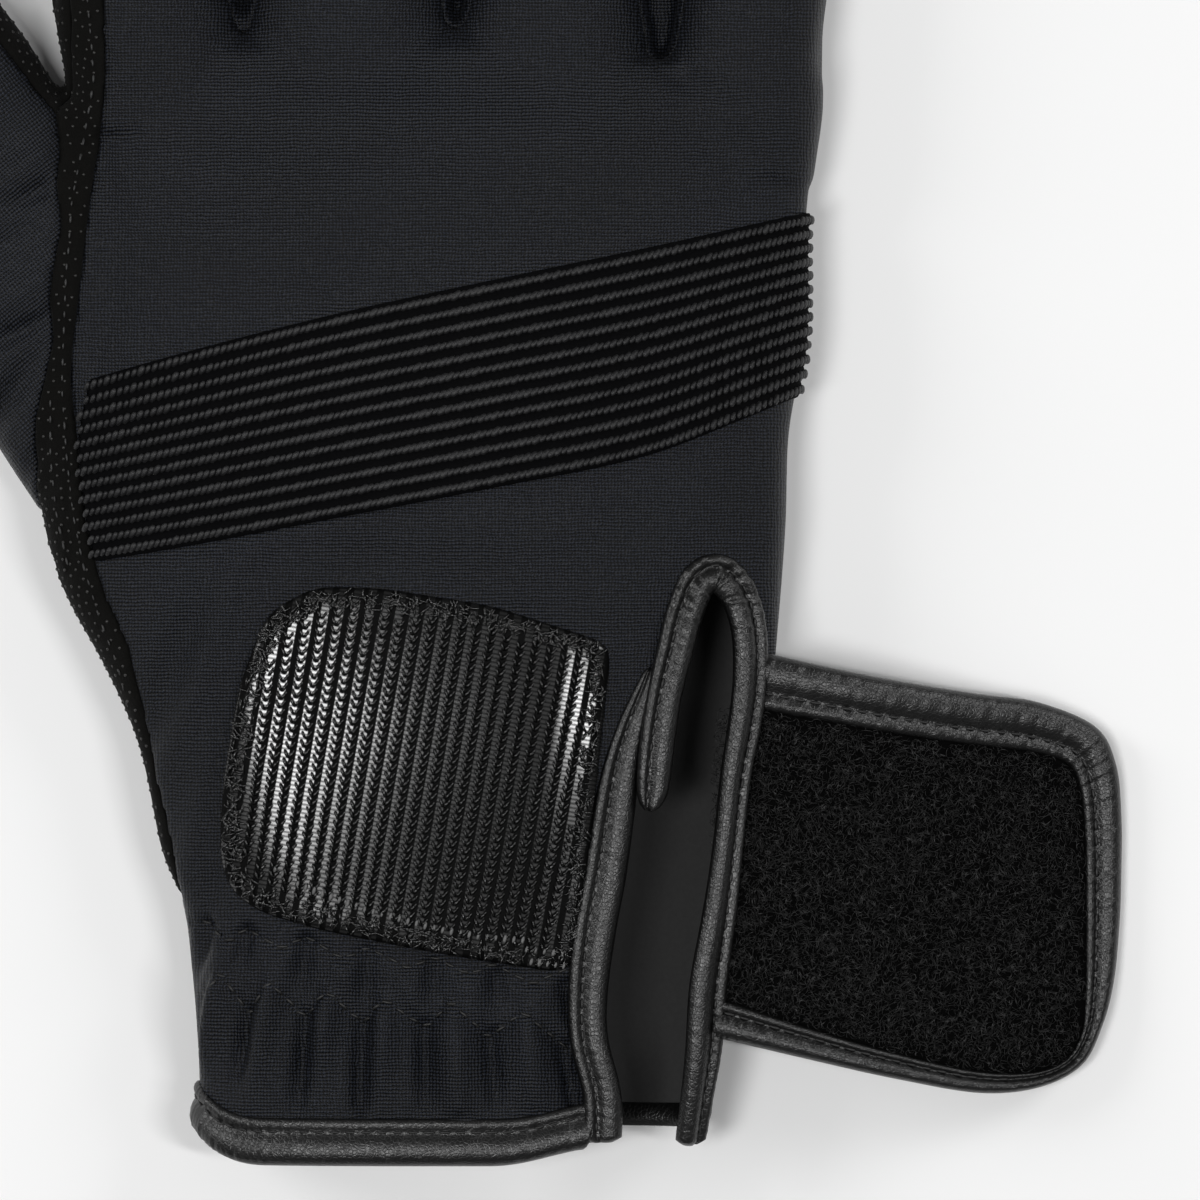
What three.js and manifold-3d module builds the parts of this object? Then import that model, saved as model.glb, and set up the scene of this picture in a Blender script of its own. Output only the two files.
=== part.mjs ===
// A right-hand riding glove with a knitted back, a suede palm and a leather-bound wrist slit.
// It lies palm down on the plane z = 0. +Y runs from the hem to the fingertips, -X is the thumb's side.
// All sizes are in millimetres.
import * as THREE from 'three';
import { mergeVertices } from 'three/addons/utils/BufferGeometryUtils.js';
import Module from 'manifold-3d';

const wasm = await Module();
wasm.setup();

// Hand and cuff
const HAND_WIDTH = 98;
const HAND_LENGTH = 149;
const HAND_HEIGHT = 21.5;
const CUFF_WIDTH = 66;
const CUFF_HEIGHT = 18.5;
const CLOTH = 1.5;
const GAP = 0.3;

// Seams between the panels, as heights above the table
const PALM_SEAM = 5.2;
const FINGER_SEAM = 11.2;

// Fingers and thumb
const FINGER_HEIGHT = 16.5;
const INDEX_LENGTH = 68;
const MIDDLE_LENGTH = 78;
const RING_LENGTH = 72;
const LITTLE_LENGTH = 57;
const THUMB_LENGTH = 96;
const THUMB_WIDTH = 36;
const THUMB_HEIGHT = 16.5;

// Gathers of the cuff
const GATHER_PITCH = 7.2;
const GATHER_HEIGHT = 0.9;
const GATHER_START = 8;
const GATHER_END = 35;
const CUFF_STEP_SHARE = 0.75;
const HAND_STEP_SHARE = 1.75;

// Suede strip on the index side
const STRIP_WIDTH = 6.2;
const STRIP_START = 34;
const STRIP_STEP = 9;
const STRIP_GROWTH = 0.42;
const STRIP_SHARES = [0.03, 0.11, 0.3, 0.52, 0.77, 0.91, 0.985];
const THUMB_STRIP_WIDTH = 3.4;
const FOURCHETTE_DEPTH = 9;
const TIP_BACK = 0.5;

// Elastic band across the knuckles, its place a share of HAND_LENGTH
const BAND_WIDTH = 22.4;
const BAND_THICKNESS = 1.2;
const BAND_TILT = 13.4;
const BAND_PLACE = 0.6805;

// Hook patch on the wrist
const PATCH_WIDTH = 52;
const PATCH_LENGTH = 50;
const PATCH_THICKNESS = 1.4;
const PATCH_LEFT = -29.9;
const PATCH_BOTTOM = 25.2;

// Leather bindings
const SLIT_LENGTH = 77;
const SLIT_WIDTH = 12.6;
const SLIT_X = 25.4;
const BINDING_WIDTH = 4.4;
const LEG_WIDTH = 3.2;
const BINDING_THICKNESS = 2.6;
const BINDING_SINK = 0.2;
const HEM_WIDTH = 6.2;
const HEM_PROUD = 0.7;
const HEM_SLANT = 4.4;
const SLANT_SPREAD = 0.75;

// Closing tab
const TAB_REACH = 50;
const TAB_WIDTH = 58;
const TAB_BOTTOM = 9;
const TAB_ROOT_X = 38;
const TAB_ROOT_SHARE = 0.7;
const TAB_LEATHER = 1.1;
const TAB_PILE = 1.5;
const TAB_BINDING = 3.2;

// How finely the round forms are faceted
const TOP_FACETS = 28;
const UNDER_FACETS = 10;
const INNER_TOP_FACETS = 14;
const INNER_UNDER_FACETS = 6;
const FINGER_FACETS = 16;
const THUMB_FACETS = 16;
const SLIT_STEPS = 30;
const PLACKET_STEPS = 12;
const TAB_STEPS = 12;
const ARCH_FIRST_STEP = 6;

// Form of a section: how square it is, where its widest level lies and how much of its underside is flat
const SQUARENESS = 0.78;
const WIDEST_LEVEL = 0.4;
const UNDERSIDE_FLAT = 1.18;

// Room round the pieces for the forms that cut them
const CUTTER_BOTTOM = -5;
const CUTTER_TOP = 40;
const CUT_DEPTH = 3.6;
const CUT_RISE = 5;
const SIDE_ROOM = 10;
const THUMB_CUTTER_REACH = 60;
const FAR = 200;
const PAST_TIP = 1.3;
const TIP_START = 0.9;
const RIM_SHARE = 0.999;
const BETWEEN_RINGS = 0.43;

// Tolerances
const WELD = 1e-4;
const SLOPE_STEP = 0.5;
const CRUMB_VOLUME = 1;

// Sections of the hand, from the hem to the finger roots.
// along: share of HAND_LENGTH; spread: 0 is CUFF_WIDTH wide, 1 is HAND_WIDTH wide;
// shift: sideways, share of HAND_WIDTH; rise: 0 is CUFF_HEIGHT high, 1 is HAND_HEIGHT high
const HAND_SECTIONS = [
  { along: 0.0, spread: -0.03, shift: -0.003, rise: -0.2 },
  { along: 0.067, spread: 0.06, shift: 0.01, rise: 0.0 },
  { along: 0.154, spread: 0.17, shift: 0.019, rise: 0.0 },
  { along: 0.221, spread: 0.25, shift: 0.02, rise: 0.1 },
  { along: 0.268, spread: 0.36, shift: 0.012, rise: 0.2 },
  { along: 0.366, spread: 0.51, shift: 0.004, rise: 0.5 },
  { along: 0.43, spread: 0.66, shift: -0.013, rise: 0.7 },
  { along: 0.503, spread: 0.87, shift: -0.038, rise: 0.9 },
  { along: 0.564, spread: 0.97, shift: -0.048, rise: 1.0 },
  { along: 0.638, spread: 1.01, shift: -0.051, rise: 1.0 },
  { along: 0.718, spread: 0.99, shift: -0.028, rise: 0.9 },
  { along: 0.819, spread: 0.97, shift: -0.022, rise: 0.5 },
  { along: 0.893, spread: 1.01, shift: -0.017, rise: -0.1 },
  { along: 0.96, spread: 1.04, shift: -0.01, rise: -0.85 },
];

// Fingers. centre: sideways, share of HAND_WIDTH; width: share of HAND_WIDTH at the root;
// root: where it parts from the hand, share of HAND_LENGTH; lean: degrees towards +X
const FINGERS = [
  { name: 'index', length: INDEX_LENGTH, centre: -0.398, width: 0.25, root: 0.995, lean: -2.0 },
  { name: 'middle', length: MIDDLE_LENGTH, centre: -0.135, width: 0.288, root: 1.005, lean: -0.5 },
  { name: 'ring', length: RING_LENGTH, centre: 0.138, width: 0.276, root: 0.985, lean: 2.0 },
  { name: 'little', length: LITTLE_LENGTH, centre: 0.387, width: 0.232, root: 0.945, lean: 7.5 },
];

// Sections of a finger. along: share of its length beyond the root; width: share of its root width;
// height: share of FINGER_HEIGHT; lift: height of the underside, share of FINGER_HEIGHT
const FINGER_SECTIONS = [
  { along: -0.2, width: 0.97, height: 0.96, lift: 0.07 },
  { along: 0.0, width: 0.97, height: 1.0, lift: 0.0 },
  { along: 0.07, width: 0.87, height: 1.0, lift: 0.0 },
  { along: 0.36, width: 0.85, height: 0.98, lift: 0.0 },
  { along: 0.66, width: 0.82, height: 0.95, lift: 0.0 },
  { along: 0.86, width: 0.72, height: 0.86, lift: 0.02 },
  { along: 0.955, width: 0.5, height: 0.68, lift: 0.08 },
  { along: 1.0, width: 0.2, height: 0.48, lift: 0.18 },
];

// Middle line of the thumb. across and along: from the thumb's root, shares of THUMB_LENGTH;
// width: share of THUMB_WIDTH; height and lift: shares of THUMB_HEIGHT
const THUMB_ROOT = { across: -0.36, along: 0.59 };
const THUMB_SECTIONS = [
  { across: 0.0, along: 0.0, width: 0.94, height: 0.96, lift: 0.07 },
  { across: -0.11, along: 0.19, width: 1.0, height: 1.0, lift: 0.03 },
  { across: -0.245, along: 0.405, width: 0.88, height: 1.0, lift: 0.0 },
  { across: -0.4, along: 0.625, width: 0.77, height: 0.96, lift: 0.0 },
  { across: -0.515, along: 0.775, width: 0.66, height: 0.88, lift: 0.02 },
  { across: -0.565, along: 0.84, width: 0.46, height: 0.7, lift: 0.08 },
  { across: -0.595, along: 0.875, width: 0.18, height: 0.5, lift: 0.18 },
];

// Folds that stand out on the back. across: share of HAND_WIDTH; along: share of HAND_LENGTH;
// turn: degrees from +X; reach and breadth: half length and half width, shares of HAND_WIDTH;
// height: how far it stands out, share of HAND_HEIGHT
const FOLDS = [
  { across: -0.27, along: 0.355, turn: 68, reach: 0.163, breadth: 0.046, height: 0.042 },
  { across: -0.02, along: 0.545, turn: 12, reach: 0.245, breadth: 0.051, height: 0.033 },
  { across: 0.27, along: 0.93, turn: -20, reach: 0.143, breadth: 0.041, height: 0.037 },
];

// Roll of the hem binding: along: share of HEM_WIDTH; proud: share of HEM_PROUD
const HEM_ROLL = [
  { along: 0.0, proud: -1.2 },
  { along: 0.09, proud: 0.4 },
  { along: 0.3, proud: 1.0 },
  { along: 0.62, proud: 0.8 },
  { along: 1.0, proud: 0.4 },
];

// Outline of the hook patch. across: share of PATCH_WIDTH; along: share of PATCH_LENGTH
const PATCH_OUTLINE = [
  { across: 0.0, along: 0.29 },
  { across: 0.01, along: 0.5 },
  { across: 0.05, along: 0.74 },
  { across: 0.12, along: 0.93 },
  { across: 0.24, along: 1.0 },
  { across: 0.41, along: 0.995 },
  { across: 0.68, along: 0.95 },
  { across: 0.98, along: 0.85 },
  { across: 0.97, along: 0.76 },
  { across: 0.89, along: 0.0 },
  { across: 0.84, along: 0.0 },
  { across: 0.54, along: 0.05 },
  { across: 0.25, along: 0.11 },
  { across: 0.1, along: 0.155 },
  { across: 0.03, along: 0.205 },
];

// Middle line of the binding round the slit, from the tip of its left leg over the arch to the hem.
// across: share of SLIT_WIDTH from SLIT_X; along: share of SLIT_LENGTH;
// leg: how narrow it is, from 0, BINDING_WIDTH, to 1, LEG_WIDTH
const SLIT_LINE = [
  { across: 0.1, along: 0.61, leg: 1.25 },
  { across: 0.15, along: 0.67, leg: 1.0 },
  { across: 0.2, along: 0.74, leg: 1.0 },
  { across: 0.27, along: 0.8, leg: 1.0 },
  { across: 0.37, along: 0.87, leg: 0.8 },
  { across: 0.44, along: 0.94, leg: 0.4 },
  { across: 0.56, along: 0.99, leg: 0.1 },
  { across: 0.74, along: 1.0, leg: 0.0 },
  { across: 0.92, along: 0.97, leg: 0.0 },
  { across: 1.01, along: 0.91, leg: 0.0 },
  { across: 1.0, along: 0.83, leg: 0.0 },
  { across: 0.92, along: 0.75, leg: 0.1 },
  { across: 0.82, along: 0.66, leg: 0.3 },
  { across: 0.7, along: 0.53, leg: 0.4 },
  { across: 0.6, along: 0.4, leg: 0.1 },
  { across: 0.51, along: 0.27, leg: 0.0 },
  { across: 0.45, along: 0.14, leg: 0.0 },
  { across: 0.42, along: 0.02, leg: 0.0 },
];

// Middle line of the placket binding, from the hem up to where the arch's left leg covers it
const PLACKET_LINE = [
  { across: -0.44, along: 0.02, leg: 0.0 },
  { across: -0.45, along: 0.12, leg: 0.0 },
  { across: -0.56, along: 0.21, leg: 0.0 },
  { across: -0.57, along: 0.29, leg: 0.0 },
  { across: -0.5, along: 0.4, leg: 0.0 },
  { across: -0.37, along: 0.5, leg: 0.0 },
  { across: -0.27, along: 0.6, leg: 0.2 },
  { across: -0.2, along: 0.68, leg: 0.4 },
  { across: -0.12, along: 0.75, leg: 0.9 },
  { across: -0.03, along: 0.8, leg: 1.4 },
];

// Outline of the opened tab: across: share of TAB_REACH from its root; along: share of TAB_WIDTH
const TAB_OUTLINE = [
  { across: 0.0, along: 1.0 },
  { across: 0.1, along: 0.985 },
  { across: 0.44, along: 0.925 },
  { across: 0.78, along: 0.88 },
  { across: 0.93, along: 0.825 },
  { across: 0.99, along: 0.72 },
  { across: 1.0, along: 0.56 },
  { across: 0.99, along: 0.38 },
  { across: 0.95, along: 0.16 },
  { across: 0.9, along: 0.06 },
  { across: 0.78, along: 0.005 },
  { across: 0.64, along: 0.0 },
  { across: 0.4, along: 0.035 },
  { across: 0.0, along: 0.115 },
  { across: -0.1, along: 0.135 },
];
const PILE_OUTLINE = [
  { across: -0.04, along: 0.88 },
  { across: 0.04, along: 0.866 },
  { across: 0.41, along: 0.81 },
  { across: 0.75, along: 0.77 },
  { across: 0.86, along: 0.74 },
  { across: 0.895, along: 0.66 },
  { across: 0.905, along: 0.5 },
  { across: 0.905, along: 0.2 },
  { across: 0.86, along: 0.08 },
  { across: 0.76, along: 0.045 },
  { across: 0.6, along: 0.06 },
  { across: 0.36, along: 0.105 },
  { across: -0.1, along: 0.225 },
];

// How the tab hangs from the cuff to the table: reach: share of TAB_REACH; height: share of its root's height
const TAB_DRAPE = [
  { reach: -0.25, height: 1.02 },
  { reach: 0.0, height: 1.0 },
  { reach: 0.12, height: 0.95 },
  { reach: 0.3, height: 0.8 },
  { reach: 0.5, height: 0.55 },
  { reach: 0.7, height: 0.3 },
  { reach: 0.86, height: 0.13 },
  { reach: 1.05, height: 0.0 },
];

function smoothRead(rows, key, place, column) {
  // Reads a column of a table at a place between its rows, along a smooth curve through them
  const last = rows.length - 1;
  let i = 0;
  while (i < last - 1 && place > rows[i + 1][key]) i += 1;
  const a = rows[Math.max(i - 1, 0)];
  const b = rows[i];
  const c = rows[i + 1];
  const d = rows[Math.min(i + 2, last)];
  const span = c[key] - b[key];
  const t = Math.min(Math.max((place - b[key]) / span, 0), 1);
  const slopeB = (c[column] - a[column]) / (c[key] - a[key]) * span;
  const slopeC = (d[column] - b[column]) / (d[key] - b[key]) * span;
  const t2 = t * t;
  const t3 = t2 * t;
  return (2 * t3 - 3 * t2 + 1) * b[column] + (t3 - 2 * t2 + t) * slopeB
    + (3 * t2 - 2 * t3) * c[column] + (t3 - t2) * slopeC;
}

function solidOf(geometry) {
  // Turns a closed three.js geometry into a solid that can be joined and cut
  geometry.deleteAttribute('normal');
  geometry.deleteAttribute('uv');
  const merged = mergeVertices(geometry, WELD);
  const vertProperties = new Float32Array(merged.attributes.position.array);
  const triVerts = new Uint32Array(merged.index.array);
  return new wasm.Manifold(new wasm.Mesh({ numProp: 3, vertProperties, triVerts }));
}

function geometryOf(solid) {
  const mesh = solid.getMesh();
  const geometry = new THREE.BufferGeometry();
  geometry.setAttribute('position', new THREE.BufferAttribute(new Float32Array(mesh.vertProperties), 3));
  geometry.setIndex(withoutCrumbs(geometry.attributes.position, Array.from(mesh.triVerts)));
  geometry.computeVertexNormals();
  return geometry;
}

function withoutCrumbs(place, index) {
  // Leaves out the loose chips that a cut along a facet's edge can split off
  const parent = Array.from({ length: place.count }, (_, i) => i);
  const rootOf = (i) => {
    let root = i;
    while (parent[root] !== root) root = parent[root];
    parent[i] = root;
    return root;
  };
  for (let i = 0; i < index.length; i += 3) {
    parent[rootOf(index[i + 1])] = rootOf(index[i]);
    parent[rootOf(index[i + 2])] = rootOf(index[i]);
  }
  const volumes = new Map();
  const corners = [new THREE.Vector3(), new THREE.Vector3(), new THREE.Vector3()];
  for (let i = 0; i < index.length; i += 3) {
    corners.forEach((corner, k) => corner.fromBufferAttribute(place, index[i + k]));
    const volume = corners[0].dot(corners[1].cross(corners[2])) / 6;
    const root = rootOf(index[i]);
    volumes.set(root, (volumes.get(root) || 0) + volume);
  }
  return index.filter((_, i) => volumes.get(rootOf(index[i - (i % 3)])) > CRUMB_VOLUME);
}

function loft(rings) {
  // Skins rings of points, each with as many points, and closes both ends from their middles
  const count = rings[0].length;
  const positions = [];
  for (const ring of rings) {
    for (const point of ring) positions.push(point.x, point.y, point.z);
  }
  const faces = [];
  for (let r = 0; r < rings.length - 1; r += 1) {
    for (let k = 0; k < count; k += 1) {
      const a = r * count + k;
      const b = r * count + (k + 1) % count;
      faces.push(a, b, b + count, a, b + count, a + count);
    }
  }
  for (const end of [0, rings.length - 1]) {
    const middle = new THREE.Vector3();
    for (const point of rings[end]) middle.addScaledVector(point, 1 / count);
    const hub = positions.length / 3;
    positions.push(middle.x, middle.y, middle.z);
    for (let k = 0; k < count; k += 1) {
      const a = end * count + k;
      const b = end * count + (k + 1) % count;
      if (end === 0) faces.push(b, a, hub);
      else faces.push(a, b, hub);
    }
  }
  const geometry = new THREE.BufferGeometry();
  geometry.setAttribute('position', new THREE.BufferAttribute(new Float32Array(positions), 3));
  geometry.setIndex(faces);
  return outward(geometry);
}

function outward(geometry) {
  // Turns the faces round where the closed mesh would have a negative volume
  const place = geometry.attributes.position;
  const index = geometry.index.array;
  const a = new THREE.Vector3();
  const b = new THREE.Vector3();
  const c = new THREE.Vector3();
  let volume = 0;
  for (let i = 0; i < index.length; i += 3) {
    a.fromBufferAttribute(place, index[i]);
    b.fromBufferAttribute(place, index[i + 1]);
    c.fromBufferAttribute(place, index[i + 2]);
    volume += a.dot(b.cross(c));
  }
  if (volume < 0) {
    for (let i = 0; i < index.length; i += 3) {
      const first = index[i];
      index[i] = index[i + 1];
      index[i + 1] = first;
    }
  }
  return solidOf(geometry);
}

function prism(points, bottom, top) {
  // Stands a plan outline up from one height to another
  const shape = new THREE.Shape(points.map((p) => new THREE.Vector2(p.x, p.y)));
  const geometry = new THREE.ExtrudeGeometry(shape, { depth: top - bottom, bevelEnabled: false, steps: 1 });
  geometry.translate(0, 0, bottom);
  return solidOf(geometry);
}

function slab(bottom, top) {
  return prism([
    new THREE.Vector2(-FAR, -FAR),
    new THREE.Vector2(FAR, -FAR),
    new THREE.Vector2(FAR, 2 * FAR),
    new THREE.Vector2(-FAR, 2 * FAR),
  ], bottom, top);
}

function sectionPoint(angle, halfWidth, height, level, floor) {
  // A point on a section whose underside is flat: sideways place and height
  const cos = Math.cos(angle);
  const sin = Math.sin(angle);
  const side = Math.sign(cos) * Math.abs(cos) ** SQUARENESS * halfWidth;
  const bulge = Math.abs(sin) ** SQUARENESS;
  const up = sin >= 0
    ? level + (height - level) * bulge
    : level - (level - floor) * Math.min(1, UNDERSIDE_FLAT * bulge);
  return { side, up };
}

function sectionAngles(topFacets, underFacets) {
  const angles = [];
  for (let k = 0; k < topFacets; k += 1) angles.push(Math.PI * k / topFacets);
  for (let k = 0; k < underFacets; k += 1) angles.push(Math.PI + Math.PI * k / underFacets);
  return angles;
}

// The hand and cuff
function handAt(y) {
  const place = y / HAND_LENGTH;
  const spread = smoothRead(HAND_SECTIONS, 'along', place, 'spread');
  const rise = smoothRead(HAND_SECTIONS, 'along', place, 'rise');
  return {
    centre: smoothRead(HAND_SECTIONS, 'along', place, 'shift') * HAND_WIDTH,
    halfWidth: (CUFF_WIDTH + spread * (HAND_WIDTH - CUFF_WIDTH)) / 2,
    height: CUFF_HEIGHT + rise * (HAND_HEIGHT - CUFF_HEIGHT),
  };
}

function gatherLift(x, y) {
  const middle = (GATHER_START + GATHER_END) / 2;
  const reach = (GATHER_END - GATHER_START) / 2;
  const fade = Math.max(0, 1 - ((y - middle) / reach) ** 4);
  const row = Math.sin((y - GATHER_START) / GATHER_PITCH);
  return GATHER_HEIGHT * fade * (0.5 + 0.5 * Math.cos(2 * Math.PI * x / GATHER_PITCH + row));
}

function foldLift(x, y) {
  let lift = 0;
  for (const fold of FOLDS) {
    const turn = THREE.MathUtils.degToRad(fold.turn);
    const dx = x - fold.across * HAND_WIDTH;
    const dy = y - fold.along * HAND_LENGTH;
    const lengthwise = (dx * Math.cos(turn) + dy * Math.sin(turn)) / (fold.reach * HAND_WIDTH);
    const crosswise = (dy * Math.cos(turn) - dx * Math.sin(turn)) / (fold.breadth * HAND_WIDTH);
    lift += fold.height * HAND_HEIGHT * Math.exp(-(lengthwise ** 2) - crosswise ** 2);
  }
  return lift;
}

function hemSlant(angle, y) {
  // The wrist opening is cut back at its sides and palm, and this dies out up the cuff
  const upward = Math.min(Math.max(Math.sin(angle) / SLANT_SPREAD, 0), 1);
  const fade = Math.min(Math.max(1 - (y - HEM_WIDTH) / GATHER_END, 0), 1);
  return HEM_SLANT * fade * (1 - upward * upward * (3 - 2 * upward));
}

function handRing(y, offset, angles, relief) {
  const at = handAt(y);
  const level = at.height * WIDEST_LEVEL;
  return angles.map((angle) => {
    const p = sectionPoint(angle, at.halfWidth + offset, at.height + offset, level, -offset);
    const x = at.centre + p.side;
    const upward = Math.max(0, Math.sin(angle));
    const lift = relief ? upward * (gatherLift(x, y) + foldLift(x, y)) : 0;
    return new THREE.Vector3(x, y + hemSlant(angle, y), p.up + lift);
  });
}

function handStations(start, end) {
  // Close together over the gathers, wider apart over the hand
  const stations = [start];
  let y = start;
  while (y < end) {
    const step = GATHER_PITCH * (y < GATHER_END ? CUFF_STEP_SHARE : HAND_STEP_SHARE);
    y = y + step > end - 0.5 * step ? end : y + step;
    stations.push(y);
  }
  return stations;
}

function handTop(x, y) {
  // Height of the back's surface over a place of the plan
  const at = handAt(y);
  const level = at.height * WIDEST_LEVEL;
  const share = Math.min(Math.abs(x - at.centre) / at.halfWidth, RIM_SHARE);
  const cos = share ** (1 / SQUARENESS);
  const bulge = Math.sqrt(1 - cos * cos) ** SQUARENESS;
  return level + (at.height - level) * bulge + foldLift(x, y);
}

const HAND_END = HAND_SECTIONS[HAND_SECTIONS.length - 1].along * HAND_LENGTH;
const OUTER_ANGLES = sectionAngles(TOP_FACETS, UNDER_FACETS);
const INNER_ANGLES = sectionAngles(INNER_TOP_FACETS, INNER_UNDER_FACETS);

function handSolid(offset, start, relief, angles) {
  const end = HAND_END + offset;
  return loft(handStations(start, end).map((y) => handRing(Math.min(y, end), offset, angles, relief)));
}

// A finger or a thumb, as rings square to its middle line
function limbRing(middle, heading, halfWidth, floor, height, facets) {
  const angles = sectionAngles(facets / 2, facets / 2);
  const level = floor + (height - floor) * WIDEST_LEVEL;
  return angles.map((angle) => {
    const p = sectionPoint(angle, halfWidth, height, level, floor);
    return new THREE.Vector3(middle.x + heading.y * p.side, middle.y - heading.x * p.side, p.up);
  });
}

function fingerMiddle(finger, share) {
  const lean = THREE.MathUtils.degToRad(finger.lean);
  const reach = share * finger.length;
  return new THREE.Vector2(
    finger.centre * HAND_WIDTH + Math.sin(lean) * reach,
    finger.root * HAND_LENGTH + Math.cos(lean) * reach,
  );
}

function fingerSolid(finger, offset, facets) {
  const lean = THREE.MathUtils.degToRad(finger.lean);
  const heading = new THREE.Vector2(Math.sin(lean), Math.cos(lean));
  const stretch = 1 + offset / finger.length;
  const rings = FINGER_SECTIONS.map((row) => {
    const floor = row.lift * FINGER_HEIGHT - offset;
    const top = row.lift * FINGER_HEIGHT + (row.height - row.lift) * FINGER_HEIGHT + offset;
    const halfWidth = row.width * finger.width * HAND_WIDTH / 2 + offset;
    const share = row.along > TIP_START ? row.along * stretch : row.along;
    return limbRing(fingerMiddle(finger, share), heading, halfWidth, floor, top, facets);
  });
  return loft(rings);
}

function thumbMiddle(row) {
  return new THREE.Vector2(
    THUMB_ROOT.across * HAND_WIDTH + row.across * THUMB_LENGTH,
    THUMB_ROOT.along * HAND_LENGTH + row.along * THUMB_LENGTH,
  );
}

function thumbHeading(i) {
  const before = thumbMiddle(THUMB_SECTIONS[Math.max(i - 1, 0)]);
  const after = thumbMiddle(THUMB_SECTIONS[Math.min(i + 1, THUMB_SECTIONS.length - 1)]);
  return after.sub(before).normalize();
}

function thumbSolid(offset, facets) {
  const last = THUMB_SECTIONS.length - 1;
  const rings = THUMB_SECTIONS.map((row, i) => {
    const heading = thumbHeading(i);
    const middle = thumbMiddle(row).addScaledVector(heading, i === last ? offset : 0);
    const floor = row.lift * THUMB_HEIGHT - offset;
    const top = row.height * THUMB_HEIGHT + offset;
    return limbRing(middle, heading, row.width * THUMB_WIDTH / 2 + offset, floor, top, facets);
  });
  return loft(rings);
}

// Bindings swept along lines that lie on the back's surface
function linePoints(rows, steps) {
  const curve = new THREE.CatmullRomCurve3(rows.map((row) => new THREE.Vector3(
    SLIT_X + row.across * SLIT_WIDTH,
    row.along * SLIT_LENGTH,
    row.leg,
  )), false, 'catmullrom', 0.5);
  return curve.getPoints(steps);
}

function bindingWidth(leg) {
  return BINDING_WIDTH + leg * (LEG_WIDTH - BINDING_WIDTH);
}

function surfaceNormal(x, y) {
  const dx = (handTop(x + SLOPE_STEP, y) - handTop(x - SLOPE_STEP, y)) / (2 * SLOPE_STEP);
  const dy = (handTop(x, y + SLOPE_STEP) - handTop(x, y - SLOPE_STEP)) / (2 * SLOPE_STEP);
  return new THREE.Vector3(-dx, -dy, 1).normalize();
}

// Section of a binding: side: share of its width; up: share of its thickness above the cloth's middle
const BINDING_SECTION = [
  { side: -0.5, up: -0.2 },
  { side: -0.5, up: 0.25 },
  { side: -0.36, up: 0.5 },
  { side: 0.36, up: 0.5 },
  { side: 0.5, up: 0.25 },
  { side: 0.5, up: -0.2 },
  { side: 0.36, up: -0.5 },
  { side: -0.36, up: -0.5 },
];

function bindingRings(rows, steps, section, startReach, endReach) {
  // Carries a section along a line, upright on the back's surface, and runs past the line's two ends
  const points = linePoints(rows, steps);
  return points.map((point, i) => {
    const before = points[Math.max(i - 1, 0)];
    const after = points[Math.min(i + 1, points.length - 1)];
    const along = new THREE.Vector3(after.x - before.x, after.y - before.y, 0).normalize();
    const up = surfaceNormal(point.x, point.y);
    const side = new THREE.Vector3().crossVectors(along, up).normalize();
    const atStart = i === 0 ? -startReach : 0;
    const ends = i === points.length - 1 ? endReach : atStart;
    const middle = new THREE.Vector3(point.x, point.y, handTop(point.x, point.y) - CLOTH * BINDING_SINK)
      .addScaledVector(along, ends);
    return section(bindingWidth(point.z)).map((corner) => middle.clone()
      .addScaledVector(side, corner.side)
      .addScaledVector(up, corner.up));
  });
}

function bindingSolid(rows, steps) {
  const section = (width) => BINDING_SECTION.map((part) => (
    { side: part.side * width, up: part.up * BINDING_THICKNESS }
  ));
  return loft(bindingRings(rows, steps, section, 0, 0));
}

function bindingCutter(rows, steps, startReach, endReach, rise) {
  // Clears the cloth round a binding
  const section = (width) => {
    const reach = width / 2 + GAP;
    return [
      { side: -reach, up: -CUT_DEPTH },
      { side: -reach, up: rise },
      { side: reach, up: rise },
      { side: reach, up: -CUT_DEPTH },
    ];
  };
  return loft(bindingRings(rows, steps, section, startReach, endReach));
}

function slitOpening() {
  // The gap between the bindings, from the hem to the arch
  const left = linePoints(PLACKET_LINE, PLACKET_STEPS);
  const arch = linePoints(SLIT_LINE, SLIT_STEPS);
  const outline = [
    new THREE.Vector2(left[0].x, -FAR),
    ...left.map((p) => new THREE.Vector2(p.x, p.y)),
    ...arch.slice(ARCH_FIRST_STEP).map((p) => new THREE.Vector2(p.x, p.y)),
    new THREE.Vector2(arch[arch.length - 1].x, -FAR),
  ];
  return prism(outline, CUFF_HEIGHT / 2, CUTTER_TOP);
}

// Plan regions that part the panels
function stripEdge(y) {
  const at = handAt(Math.min(y, HAND_END));
  const onHand = (y - STRIP_START) / (STRIP_GROWTH * HAND_LENGTH);
  const width = STRIP_WIDTH * Math.min(1, Math.max(0, onHand) ** 0.5);
  return at.centre - at.halfWidth + width;
}

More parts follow.
